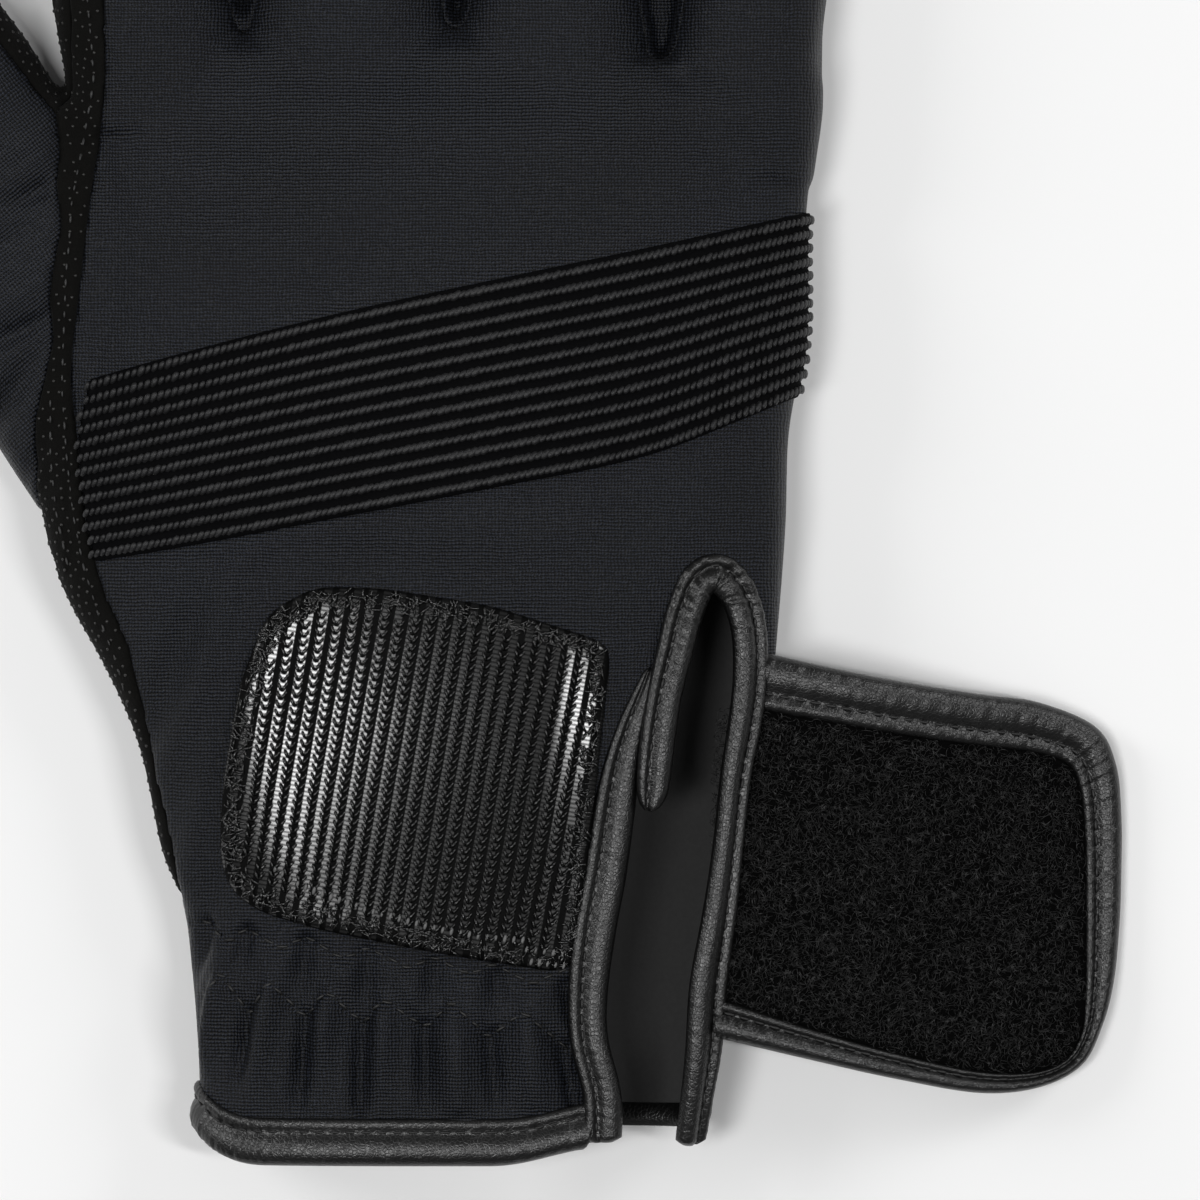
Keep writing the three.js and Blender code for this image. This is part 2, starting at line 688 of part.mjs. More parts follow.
function stripRegion(shrink) {
  const points = [new THREE.Vector2(-FAR, STRIP_START + shrink)];
  for (let y = STRIP_START + shrink; y < HAND_END; y += STRIP_STEP) {
    points.push(new THREE.Vector2(stripEdge(y) - shrink, y));
  }
  const index = FINGERS[0];
  const lean = THREE.MathUtils.degToRad(index.lean);
  for (const share of STRIP_SHARES) {
    const middle = fingerMiddle(index, share);
    const width = smoothRead(FINGER_SECTIONS, 'along', share, 'width') * index.width * HAND_WIDTH;
    const reach = Math.max(width / 2 - STRIP_WIDTH, TIP_BACK) + shrink;
    points.push(new THREE.Vector2(middle.x - Math.cos(lean) * reach, middle.y + Math.sin(lean) * reach));
  }
  const tip = fingerMiddle(index, PAST_TIP);
  points.push(new THREE.Vector2(tip.x - shrink, tip.y));
  points.push(new THREE.Vector2(-FAR, tip.y));
  return prism(points, CUTTER_BOTTOM, CUTTER_TOP);
}

function betweenFingers(a, b, shrink) {
  // The plan region from the middle line of one finger to that of its neighbour
  const low = Math.min(a.root, b.root) * HAND_LENGTH - FOURCHETTE_DEPTH + shrink;
  const leftRoot = fingerMiddle(a, 0);
  const leftTip = fingerMiddle(a, PAST_TIP);
  const rightRoot = fingerMiddle(b, 0);
  const rightTip = fingerMiddle(b, PAST_TIP);
  return prism([
    new THREE.Vector2(leftRoot.x + shrink, low),
    new THREE.Vector2(rightRoot.x - shrink, low),
    new THREE.Vector2(rightRoot.x - shrink, rightRoot.y),
    new THREE.Vector2(rightTip.x - shrink, rightTip.y),
    new THREE.Vector2(leftTip.x + shrink, leftTip.y),
    new THREE.Vector2(leftRoot.x + shrink, leftRoot.y),
  ], CUTTER_BOTTOM, CUTTER_TOP);
}

function thumbStripRegion(shrink) {
  // The edge of the thumb that faces the index finger
  const near = [];
  const far = [];
  for (let i = 0; i < THUMB_SECTIONS.length - 1; i += 1) {
    const heading = thumbHeading(i).add(thumbHeading(i + 1)).normalize();
    const middle = thumbMiddle(THUMB_SECTIONS[i]).lerp(thumbMiddle(THUMB_SECTIONS[i + 1]), BETWEEN_RINGS);
    const width = (THUMB_SECTIONS[i].width + THUMB_SECTIONS[i + 1].width) / 2 * THUMB_WIDTH;
    const reach = Math.max(width / 2 - THUMB_STRIP_WIDTH, 0) + shrink;
    near.push(new THREE.Vector2(middle.x + heading.y * reach, middle.y - heading.x * reach));
    far.push(new THREE.Vector2(
      middle.x + heading.y * THUMB_CUTTER_REACH,
      middle.y - heading.x * THUMB_CUTTER_REACH,
    ));
  }
  const tip = thumbHeading(THUMB_SECTIONS.length - 1).multiplyScalar(SIDE_ROOM);
  near.push(near[near.length - 1].clone().add(tip));
  far.push(far[far.length - 1].clone().add(tip));
  return prism([...near, ...far.reverse()], CUTTER_BOTTOM, CUTTER_TOP);
}

// Cloth walls: the outer form less the hollow
const outerHand = handSolid(0, HEM_WIDTH + GAP, true, OUTER_ANGLES);
const outerFingers = FINGERS.map((finger) => fingerSolid(finger, 0, FINGER_FACETS));
let hollow = handSolid(-CLOTH, -HEM_WIDTH, false, INNER_ANGLES).add(thumbSolid(-CLOTH, THUMB_FACETS));
for (const finger of FINGERS) hollow = hollow.add(fingerSolid(finger, -CLOTH, FINGER_FACETS));
let outer = outerHand;
for (const finger of outerFingers) outer = outer.add(finger);

const slitCutter = bindingCutter(SLIT_LINE, SLIT_STEPS, GAP, HEM_WIDTH, CUT_RISE)
  .add(bindingCutter(PLACKET_LINE, PLACKET_STEPS, HEM_WIDTH, GAP, CUT_RISE))
  .add(slitOpening());
const handWall = outer.subtract(hollow).subtract(slitCutter);

const underSeam = slab(CUTTER_BOTTOM, PALM_SEAM - GAP / 2);
const overSeam = slab(PALM_SEAM + GAP / 2, CUTTER_TOP);
const sideWalls = slab(PALM_SEAM + GAP / 2, FINGER_SEAM - GAP / 2);
const belowBacks = slab(CUTTER_BOTTOM, FINGER_SEAM + GAP / 2);

const palmPanel = handWall.intersect(underSeam);
const upperWall = handWall.intersect(overSeam);
const sideStrip = upperWall.intersect(stripRegion(GAP / 2));
const fourchettes = [0, 1, 2].map((i) => ({
  name: `fourchette_${FINGERS[i].name}_${FINGERS[i + 1].name}`,
  solid: upperWall.intersect(sideWalls).intersect(betweenFingers(FINGERS[i], FINGERS[i + 1], GAP / 2)),
}));
let backPanel = upperWall.subtract(stripRegion(-GAP / 2));
for (let i = 0; i < 3; i += 1) {
  backPanel = backPanel.subtract(betweenFingers(FINGERS[i], FINGERS[i + 1], -GAP / 2).intersect(belowBacks));
}

// Thumb, outside the hand
let aroundThumb = handSolid(GAP, 0, false, OUTER_ANGLES);
for (const finger of FINGERS) aroundThumb = aroundThumb.add(fingerSolid(finger, GAP, FINGER_FACETS));
const thumbWall = thumbSolid(0, THUMB_FACETS).subtract(hollow).subtract(aroundThumb);
const thumbBack = thumbWall.intersect(overSeam).subtract(thumbStripRegion(-GAP / 2));
const thumbPalm = thumbWall.intersect(underSeam.add(thumbStripRegion(GAP / 2)));

// Pieces that lie on the back
function onHand(low, high, region) {
  const layer = handSolid(high, HEM_WIDTH + GAP, true, OUTER_ANGLES)
    .subtract(handSolid(low, 0, true, OUTER_ANGLES));
  return layer.intersect(region).intersect(overSeam);
}

function bandRegion() {
  const tilt = THREE.MathUtils.degToRad(BAND_TILT);
  const along = new THREE.Vector2(Math.cos(tilt), Math.sin(tilt));
  const across = new THREE.Vector2(-Math.sin(tilt), Math.cos(tilt)).multiplyScalar(BAND_WIDTH / 2);
  const middle = new THREE.Vector2(0, BAND_PLACE * HAND_LENGTH);
  const left = middle.clone().addScaledVector(along, -HAND_WIDTH);
  const right = middle.clone().addScaledVector(along, HAND_WIDTH);
  return prism([
    left.clone().sub(across),
    right.clone().sub(across),
    right.clone().add(across),
    left.clone().add(across),
  ], CUTTER_BOTTOM, CUTTER_TOP);
}

const elasticBand = onHand(GAP, GAP + BAND_THICKNESS, bandRegion()).subtract(stripRegion(-GAP));
const patchOutline = PATCH_OUTLINE.map((p) => new THREE.Vector2(
  PATCH_LEFT + p.across * PATCH_WIDTH,
  PATCH_BOTTOM + p.along * PATCH_LENGTH,
));
const patchRegion = prism(patchOutline, CUTTER_BOTTOM, CUTTER_TOP);
const hookPatch = onHand(GAP, GAP + PATCH_THICKNESS, patchRegion).subtract(slitCutter);

// Hem binding, a rolled ring round the wrist opening
function hemBinding() {
  const rings = HEM_ROLL.map((row) => handRing(
    row.along * HEM_WIDTH,
    row.proud * HEM_PROUD,
    OUTER_ANGLES,
    false,
  ).map((p) => new THREE.Vector3(p.x, p.y, Math.max(p.z, 0))));
  return loft(rings).subtract(hollow).subtract(slitCutter);
}

// Tab
const tabRootHeight = handTop(TAB_ROOT_X, TAB_BOTTOM + TAB_ROOT_SHARE * TAB_WIDTH) + GAP;

function tabSheet(low, high) {
  // A sheet as wide as the tab and more, hanging from the cuff to the table
  const first = TAB_DRAPE[0].reach;
  const span = TAB_DRAPE[TAB_DRAPE.length - 1].reach - first;
  const upper = [];
  const lower = [];
  for (let k = 0; k <= TAB_STEPS; k += 1) {
    const reach = first + span * k / TAB_STEPS;
    const x = TAB_ROOT_X + reach * TAB_REACH;
    const z = smoothRead(TAB_DRAPE, 'reach', reach, 'height') * tabRootHeight + TAB_BINDING / 2;
    upper.push(new THREE.Vector2(x, z + high));
    lower.push(new THREE.Vector2(x, z + low));
  }
  const depth = TAB_WIDTH + 2 * SIDE_ROOM;
  const shape = new THREE.Shape([...upper, ...lower.reverse()]);
  const geometry = new THREE.ExtrudeGeometry(shape, { depth, bevelEnabled: false, steps: 1 });
  geometry.rotateX(Math.PI / 2);
  geometry.translate(0, TAB_BOTTOM + TAB_WIDTH + SIDE_ROOM, 0);
  return solidOf(geometry);
}

function tabPoints(rows) {
  return rows.map((row) => new THREE.Vector2(
    TAB_ROOT_X + row.across * TAB_REACH,
    TAB_BOTTOM + row.along * TAB_WIDTH,
  ));
}

const clearOfHand = handSolid(GAP, 0, true, OUTER_ANGLES)
  .add(bindingCutter(SLIT_LINE, SLIT_STEPS, GAP, GAP, BINDING_THICKNESS / 2 + GAP));
const tabArea = prism(tabPoints(TAB_OUTLINE), CUTTER_BOTTOM, CUTTER_TOP);
const pileArea = prism(tabPoints(PILE_OUTLINE), CUTTER_BOTTOM, CUTTER_TOP);
const halfBinding = TAB_BINDING / 2;
const tabRoll = tabSheet(-halfBinding, halfBinding)
  .intersect(tabArea)
  .subtract(pileArea)
  .subtract(clearOfHand);
const leatherTop = -halfBinding + TAB_LEATHER;
const tabLeather = tabSheet(-halfBinding, leatherTop)
  .intersect(pileArea)
  .subtract(clearOfHand);
const tabPile = tabSheet(leatherTop + GAP, leatherTop + GAP + TAB_PILE)
  .intersect(pileArea)
  .subtract(clearOfHand);

// Finishes
const KNIT = { color: 0x1b1e23, roughness: 0.85, metalness: 0 };
const SUEDE = { color: 0x141413, roughness: 0.95, metalness: 0 };
const LEATHER = { color: 0x17171a, roughness: 0.45, metalness: 0 };
const ELASTIC = { color: 0x08080b, roughness: 0.8, metalness: 0 };
const HOOK = { color: 0x0c0c0e, roughness: 0.25, metalness: 0 };
const PILE = { color: 0x0a0a0b, roughness: 1, metalness: 0 };

function piece(name, solid, finish) {
  const mesh = new THREE.Mesh(geometryOf(solid), new THREE.MeshStandardMaterial(finish));
  mesh.name = name;
  return mesh;
}

const glove = new THREE.Group();
glove.add(piece('back_panel', backPanel, KNIT));
glove.add(piece('palm_panel', palmPanel, SUEDE));
glove.add(piece('side_strip', sideStrip, SUEDE));
for (const wall of fourchettes) glove.add(piece(wall.name, wall.solid, KNIT));
glove.add(piece('thumb_back', thumbBack, KNIT));
glove.add(piece('thumb_palm', thumbPalm, SUEDE));
glove.add(piece('elastic_band', elasticBand, ELASTIC));
glove.add(piece('hook_patch', hookPatch, HOOK));
glove.add(piece('slit_binding', bindingSolid(SLIT_LINE, SLIT_STEPS), LEATHER));
glove.add(piece('placket_binding', bindingSolid(PLACKET_LINE, PLACKET_STEPS), LEATHER));
glove.add(piece('hem_binding', hemBinding(), LEATHER));
glove.add(piece('tab', tabLeather, LEATHER));
glove.add(piece('tab_binding', tabRoll, LEATHER));
glove.add(piece('loop_pad', tabPile, PILE));

// The origin goes to the middle of the box's underside
const box = new THREE.Box3().setFromObject(glove);
const middle = box.getCenter(new THREE.Vector3());
glove.position.set(-middle.x, -middle.y, -box.min.z);

export default glove;
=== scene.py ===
"""A right-hand riding glove, lying palm down with its wrist tab open, dressed around its solids.

Lengths are millimetres in the glove's own plan, x towards the little finger and y from the hem to the
fingertips, until to_frame puts them in the shared frame, in metres.
"""
import math

import bmesh
import bpy
import numpy as np
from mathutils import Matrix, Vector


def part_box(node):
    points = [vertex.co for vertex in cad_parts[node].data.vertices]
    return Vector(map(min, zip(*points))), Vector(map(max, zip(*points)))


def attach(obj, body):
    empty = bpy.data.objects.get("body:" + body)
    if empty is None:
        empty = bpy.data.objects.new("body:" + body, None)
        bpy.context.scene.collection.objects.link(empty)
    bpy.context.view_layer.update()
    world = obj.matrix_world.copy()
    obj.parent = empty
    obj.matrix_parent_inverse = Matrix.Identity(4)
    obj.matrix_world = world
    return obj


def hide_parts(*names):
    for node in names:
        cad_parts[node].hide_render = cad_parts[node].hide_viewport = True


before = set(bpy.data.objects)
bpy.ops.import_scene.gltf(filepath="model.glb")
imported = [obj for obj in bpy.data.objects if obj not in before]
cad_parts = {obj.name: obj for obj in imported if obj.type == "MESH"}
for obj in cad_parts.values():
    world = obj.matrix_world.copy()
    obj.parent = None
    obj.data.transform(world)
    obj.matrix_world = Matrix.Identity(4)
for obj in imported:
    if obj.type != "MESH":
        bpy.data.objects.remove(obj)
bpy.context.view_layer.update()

MM = 0.001

# Hand and cuff
HAND_WIDTH = 98
HAND_LENGTH = 149
HAND_HEIGHT = 21.5
CUFF_WIDTH = 66
CUFF_HEIGHT = 18.5
CLOTH = 1.1
PALM_SEAM = 5.2
FINGER_SEAM = 11.2
FINGER_HEIGHT = 16.5
THUMB_LENGTH = 96
THUMB_WIDTH = 36
THUMB_HEIGHT = 16.5
SQUARENESS = 0.78
WIDEST_LEVEL = 0.4
UNDERSIDE_FLAT = 1.18

# Suede strips
STRIP_START = 34
FOURCHETTE_DEPTH = 9
THUMB_STRIP_WIDTH = 3.4

# Elastic band
BAND_WIDTH = 22.4
BAND_TILT = math.radians(13.4)
BAND_HEIGHT_ON_HAND = 101.4
BAND_RIBS = 13
BAND_FROM = math.radians(153)
BAND_TO = math.radians(-14)
CORD_PITCH = 0.86
CORD_SLANT = math.radians(31)
CORD_LIFT = 0.78
# How far the band's edges bow out, at places across the hand, in millimetres
BAND_BOW = {
    "x": [-52.0, -34.0, -14.0, 6.0, 25.0, 38.0, 48.0],
    "top": [0.0, 0.7, 1.0, 0.6, 0.1, 0.0, 0.0],
    "bottom": [0.0, -1.4, -2.4, -3.3, -3.8, -1.9, 0.0],
}

# Hook patch
PATCH_WIDTH = 52
PATCH_LENGTH = 50
PATCH_LEFT = -29.9
PATCH_BOTTOM = 25.2
PATCH_MARGIN = 6
PATCH_BEND = 0.85
PATCH_MIDDLE = (-4, 50)
HOOK_TILT = math.radians(10)
HOOK_COLUMN = 1.9
HOOK_STEP = 1.12
HOOK_COLUMNS = np.arange(-22, 23)
HOOK_ROWS = np.arange(-34, 35)
HOOK_APART = 0.17
HOOK_BORDER = 3.2
HOOK_FAN = math.radians(0.3)
HOOK_LEAN = math.radians(30)
CRUSHED_HOOKS = 1500
TROUGH_PLACE = 0.6
TAPE_LIFT = 0.85
BAR_PITCH = 1.15

# Leather bindings
SLIT_LENGTH = 77
SLIT_WIDTH = 12.6
SLIT_X = 25.4
HEM_WIDTH = 6.2
HEM_SLANT = 4.4
HEM_TURN = 0.75
HEM_LAP = 3.0
SLIT_RISE = 2.2
GATHER_END = 35

# Tab
TAB_REACH = 50
TAB_WIDTH = 58
TAB_BOTTOM = 9
TAB_ROOT_X = 38
TAB_BINDING = 3.2
GAP = 0.3
TAB_UNDERSIDE = -1.5
TAB_TOP = -0.4
PAD_UNDERSIDE = -0.2
PAD_TOP = 0.55

# Stitches, grip dots and pile
STITCH_PITCH = 2.05
STITCH_LENGTH = 1.5
THREAD = 0.42
STITCH_LIFT = 0.08
GROOVE_LIFT = 0.5
TAB_STITCH_LIFT = 0.95
PILE_FIBRES = 6200
PILE_STEPS = 6
FIBRE_RADIUS = 0.04
PILE_LAYERS = (("low", 0.1, 0.5), ("high", 0.4, 1.1))

# Small repeated shapes: length, width and height in millimetres
STITCH = (STITCH_LENGTH, THREAD, THREAD)
STRIP_STITCH = (1.0, 0.3, 0.3)
GRIP_DOT = (0.5, 0.5, 0.34)
CORD_TURN = (1.62, 0.86, 0.66)
HOOK = (0.95, 0.95, 0.4)
CRUSHED_HOOK = (0.9, 0.7, 0.28)
PATCH_BAR = (1.0, 0.42, 0.3)

# Grip dots: their piece and its panel, the gap between them and the margin along the panel's edge
GRIP_DOTS = [
    ("side_strip_dots", "side_strip", 1.15, 0.7),
    ("palm_dots", "palm_panel", 1.7, 1.6),
    ("thumb_palm_dots", "thumb_palm", 1.35, 0.8),
]

# Knit: the height of a course, the width of a wale and the turn of the thumb's piece in degrees
COURSE = 0.46
WALE = 0.43
THUMB_KNIT_TURN = 38

# The glove's plan in the shared frame
ORIGIN_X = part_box("hook_patch")[0][0] / MM - PATCH_LEFT
ORIGIN_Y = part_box("hem_binding")[0][1] / MM

# How finely the cloth is meshed, how near a point counts as on a seam, how deep a seam lies, how high
# the cloth stands on its grip dots, and the step that the back's slopes are read over
VOXEL = 0.72
ON_SEAM = 0.03
SEAM_DEPTH = 0.5
DOT_STAND = 0.22
SLOPE_STEP = 0.5

HAND_SECTIONS = {
    "along": [0.0, 0.067, 0.154, 0.221, 0.268, 0.366, 0.43, 0.503, 0.564, 0.638, 0.718, 0.819, 0.893, 0.96],
    "spread": [-0.03, 0.06, 0.17, 0.25, 0.36, 0.51, 0.66, 0.87, 0.97, 1.01, 0.99, 0.97, 1.01, 1.04],
    "shift": [-0.003, 0.01, 0.019, 0.02, 0.012, 0.004, -0.013, -0.038, -0.048, -0.051, -0.028, -0.022,
              -0.017, -0.01],
    "rise": [-0.2, 0.0, 0.0, 0.1, 0.2, 0.5, 0.7, 0.9, 1.0, 1.0, 0.9, 0.5, -0.1, -0.85],
}

# Fingers: length in millimetres; centre and width: shares of HAND_WIDTH; root: share of HAND_LENGTH
FINGERS = [
    {"name": "index", "length": 68, "centre": -0.398, "width": 0.25, "root": 0.995, "lean": -2.0},
    {"name": "middle", "length": 78, "centre": -0.135, "width": 0.288, "root": 1.005, "lean": -0.5},
    {"name": "ring", "length": 72, "centre": 0.138, "width": 0.276, "root": 0.985, "lean": 2.0},
    {"name": "little", "length": 57, "centre": 0.387, "width": 0.232, "root": 0.945, "lean": 7.5},
]
FINGER_SECTIONS = {
    "along": [-0.2, 0.0, 0.07, 0.36, 0.66, 0.86, 0.955, 1.0],
    "width": [0.97, 0.97, 0.87, 0.85, 0.82, 0.72, 0.5, 0.2],
    "height": [0.96, 1.0, 1.0, 0.98, 0.95, 0.86, 0.68, 0.48],
    "lift": [0.07, 0.0, 0.0, 0.0, 0.0, 0.02, 0.08, 0.18],
}
THUMB_ROOT = (-0.36, 0.59)
THUMB_TIP = 0.875
THUMB_SECTIONS = {
    "across": [0.0, -0.11, -0.245, -0.4, -0.515, -0.565, -0.595],
    "along": [0.0, 0.19, 0.405, 0.625, 0.775, 0.84, THUMB_TIP],
    "width": [0.94, 1.0, 0.88, 0.77, 0.66, 0.46, 0.18],
    "height": [0.96, 1.0, 1.0, 0.96, 0.88, 0.7, 0.5],
    "lift": [0.07, 0.03, 0.0, 0.0, 0.02, 0.08, 0.18],
}

PATCH_OUTLINE = [
    (0.0, 0.29), (0.01, 0.5), (0.05, 0.74), (0.12, 0.93), (0.24, 1.0), (0.41, 0.995), (0.68, 0.95),
    (0.98, 0.85), (0.97, 0.76), (0.89, 0.0), (0.84, 0.0), (0.54, 0.05), (0.25, 0.11), (0.1, 0.155),
    (0.03, 0.205),
]

# The bars of pale thread, lightened further with painted highlight, along the patch's lowest row and its
# corner at the slit
PATCH_STITCH_ROWS = [
    [(-22.6, 38.6), (-19.4, 36.5), (-11.0, 33.4), (-1.4, 30.8), (4.5, 29.8), (9.5, 29.4)],
    [(10.0, 28.2), (14.6, 27.6)],
    [(10.6, 26.6), (14.8, 26.0)],
]

# Seams of the suede strip, read as rows of y and x in millimetres
STRIP_SEAM = {
    "y": [30.0, 34.0, 44.0, 54.0, 59.4, 67.2, 73.5, 80.0, 83.9, 91.7, 102.1, 106.0, 113.8, 121.6, 128.1,
          135.2, 141.1, 151.5, 175.0, 205.0, 216.0],
    "x": [-35.6, -35.1, -37.0, -39.3, -40.3, -41.9, -44.9, -46.8, -47.6, -48.4, -49.3, -49.1, -48.1, -47.2,
          -46.3, -45.6, -44.9, -45.1, -45.9, -45.4, -42.5],
}
THUMB_SEAM = {
    "y": [60.0, 74.8, 80.0, 83.9, 87.8, 93.0, 96.9, 102.1, 107.3, 112.5, 117.0, 122.2, 127.4, 132.0, 136.9,
          140.1, 150.0],
    "x": [-49.0, -50.7, -52.3, -53.3, -54.0, -54.2, -54.0, -52.7, -51.5, -52.0, -51.4, -50.4, -51.0, -50.6,
          -51.0, -49.6, -49.6],
}

# Middle lines of the bindings: across, share of SLIT_WIDTH; along, share of SLIT_LENGTH;
# width in millimetres; over, height above the cloth in millimetres
SLIT_LINE = [
    (0.01, 0.6, 1.8, 1.2), (0.05, 0.63, 3.9, 1.2), (0.08, 0.68, 4.5, 1.2), (0.13, 0.74, 4.6, 1.1),
    (0.2, 0.8, 4.6, 0.9), (0.31, 0.87, 4.7, 0.5), (0.4, 0.93, 4.8, 0.2), (0.54, 0.985, 4.9, 0.0),
    (0.74, 1.0, 5.0, 0.0), (0.93, 0.97, 5.0, 0.3), (1.02, 0.91, 4.9, 0.9), (1.01, 0.83, 4.7, 1.6),
    (0.95, 0.75, 4.4, 2.0), (0.86, 0.66, 4.1, 2.1), (0.76, 0.53, 4.1, 2.2), (0.67, 0.41, 4.6, 2.2),
    (0.58, 0.3, 5.2, 2.0), (0.53, 0.2, 5.1, 1.7), (0.48, 0.12, 4.5, 1.2), (0.44, 0.035, 4.2, 0.5),
]
PLACKET_LINE = [
    (-0.44, 0.04, 5.0, 0.0), (-0.45, 0.12, 5.0, 0.0), (-0.57, 0.21, 5.0, 0.0), (-0.58, 0.29, 5.1, 0.0),
    (-0.52, 0.4, 5.5, 0.0), (-0.41, 0.5, 5.6, 0.0), (-0.31, 0.6, 5.4, 0.0), (-0.23, 0.68, 4.6, -0.2),
    (-0.12, 0.75, 3.6, -0.3), (0.0, 0.81, 2.4, -0.4), (0.06, 0.84, 1.5, -0.5),
]

# Rim of the tab: outer and inner edges of its binding, across as shares of TAB_REACH, along of TAB_WIDTH
TAB_RIM = [
    {"outer": (0.0, 1.003), "inner": (-0.015, 0.88)},
    {"outer": (0.1, 0.985), "inner": (0.06, 0.864)},
    {"outer": (0.27, 0.953), "inner": (0.24, 0.836)},
    {"outer": (0.44, 0.925), "inner": (0.41, 0.81)},
    {"outer": (0.62, 0.9), "inner": (0.59, 0.787)},
    {"outer": (0.78, 0.88), "inner": (0.75, 0.77)},
    {"outer": (0.93, 0.825), "inner": (0.855, 0.742)},
    {"outer": (0.985, 0.74), "inner": (0.89, 0.68)},
    {"outer": (1.0, 0.62), "inner": (0.902, 0.58)},
    {"outer": (1.0, 0.5), "inner": (0.905, 0.46)},
    {"outer": (0.995, 0.38), "inner": (0.905, 0.33)},
    {"outer": (0.98, 0.25), "inner": (0.902, 0.2)},
    {"outer": (0.95, 0.15), "inner": (0.89, 0.125)},
    {"outer": (0.895, 0.06), "inner": (0.845, 0.07)},
    {"outer": (0.78, 0.01), "inner": (0.755, 0.045)},
    {"outer": (0.62, 0.0), "inner": (0.6, 0.052)},
    {"outer": (0.4, 0.035), "inner": (0.37, 0.1)},
    {"outer": (0.2, 0.075), "inner": (0.17, 0.152)},
    {"outer": (0.02, 0.112), "inner": (0.0, 0.2)},
    {"outer": (-0.07, 0.13), "inner": (-0.075, 0.22)},
]
TAB_DRAPE = {
    "reach": [-0.25, 0.0, 0.12, 0.3, 0.5, 0.7, 0.86, 1.05],
    "height": [0.94, 0.93, 0.9, 0.79, 0.55, 0.3, 0.13, 0.0],
}

# Soft folds of the back: x, y in millimetres; turn in degrees; half length, half breadth, height
FOLDS = [
    {"x": -35, "y": 68, "turn": 68, "reach": 11, "breadth": 1.9, "height": -0.75},
    {"x": -31, "y": 67, "turn": 70, "reach": 11, "breadth": 2.2, "height": 0.7},
    {"x": -37.5, "y": 58, "turn": 66, "reach": 9, "breadth": 1.6, "height": -0.5},
    {"x": -28, "y": 77.5, "turn": 40, "reach": 8, "breadth": 1.9, "height": 0.5},
    {"x": -3, "y": 82.5, "turn": -3, "reach": 20, "breadth": 2.6, "height": 0.45},
    {"x": 22, "y": 86, "turn": 20, "reach": 16, "breadth": 2.6, "height": 0.3},
    {"x": 34, "y": 139.5, "turn": -24, "reach": 8, "breadth": 1.5, "height": -0.8},
    {"x": 40, "y": 136.5, "turn": -20, "reach": 10, "breadth": 2.4, "height": 0.5},
    {"x": 41, "y": 84, "turn": 80, "reach": 12, "breadth": 2.0, "height": 0.35},
    {"x": -22, "y": 120, "turn": 30, "reach": 22, "breadth": 6.0, "height": 0.35},
    {"x": 14, "y": 132, "turn": -10, "reach": 24, "breadth": 6.5, "height": 0.35},
    {"x": -33, "y": 45, "turn": 78, "reach": 12, "breadth": 1.8, "height": 0.5},
    {"x": -30.5, "y": 38, "turn": 80, "reach": 10, "breadth": 1.2, "height": -0.5},
]

# Creases of the thumb where it is sewn to the hand: x, y, turn, half length, half breadth, height
THUMB_CREASES = [
    {"x": -53.5, "y": 126.5, "turn": 28, "reach": 5.5, "breadth": 1.2, "height": -1.1},
    {"x": -56, "y": 129.5, "turn": 30, "reach": 7, "breadth": 1.8, "height": 0.7},
    {"x": -55.5, "y": 108.5, "turn": 26, "reach": 6.5, "breadth": 1.2, "height": -1.2},
    {"x": -58, "y": 112, "turn": 30, "reach": 7, "breadth": 2.0, "height": 0.8},
    {"x": -58, "y": 99, "turn": 55, "reach": 8, "breadth": 1.6, "height": -1.2},
    {"x": -61, "y": 101, "turn": 55, "reach": 8, "breadth": 2.0, "height": 0.7},
    {"x": -60, "y": 118, "turn": 40, "reach": 9, "breadth": 1.6, "height": -0.7},
    {"x": -55, "y": 90, "turn": 60, "reach": 7, "breadth": 1.3, "height": -0.7},
]

# How the plan is drawn in or out round a place: x, y, radius and the move along x and y, in millimetres
PLAN_MOVES = [
    {"x": -50.5, "y": 144, "radius": 4.5, "dx": 0.9, "dy": -3.6},
    {"x": -51, "y": 154, "radius": 7, "dx": -1.9, "dy": 0.0},
]

# Zigzag stitch rows across the gathers of the cuff: corners along x and y, in millimetres
ZIGZAG_UPPER = [
    (-31.6, 31.5), (-29.0, 29.0), (-26.4, 30.8), (-22.0, 28.3), (-18.6, 29.8), (-13.8, 26.9), (-10.6, 28.4),
    (-5.2, 25.7), (-2.2, 27.2), (2.6, 24.9), (5.8, 26.3), (10.6, 23.7), (14.6, 25.4),
]
ZIGZAG_LOWER = [
    (-31.8, 21.8), (-30.0, 25.0), (-26.1, 19.8), (-23.4, 23.8), (-18.6, 19.2), (-16.1, 22.8), (-11.2, 18.5),
    (-8.7, 21.7), (-3.3, 18.1), (0.3, 21.1), (5.2, 16.8), (9.5, 20.0), (14.7, 15.7),
]


def to_frame(points):
    """Plan millimetres to the shared frame's metres."""
    points = np.asarray(points, dtype=float)
    return (points + np.array([ORIGIN_X, ORIGIN_Y, 0.0])) * MM


def smooth_read(table, key, column, places):
    """Reads a column at places between the rows, along a smooth curve through them."""
    keys = np.array(table[key])
    values = np.array(table[column])
    places = np.asarray(places, dtype=float)
    last = len(keys) - 1
    i = np.clip(np.searchsorted(keys, places, side="left") - 1, 0, last - 1)
    before = np.maximum(i - 1, 0)
    after = np.minimum(i + 2, last)
    span = keys[i + 1] - keys[i]
    t = np.clip((places - keys[i]) / span, 0, 1)
    slope_start = (values[i + 1] - values[before]) / (keys[i + 1] - keys[before]) * span
    slope_end = (values[after] - values[i]) / (keys[after] - keys[i]) * span
    return (
        (2 * t**3 - 3 * t**2 + 1) * values[i]
        + (t**3 - 2 * t**2 + t) * slope_start
        + (3 * t**2 - 2 * t**3) * values[i + 1]
        + (t**3 - t**2) * slope_end
    )


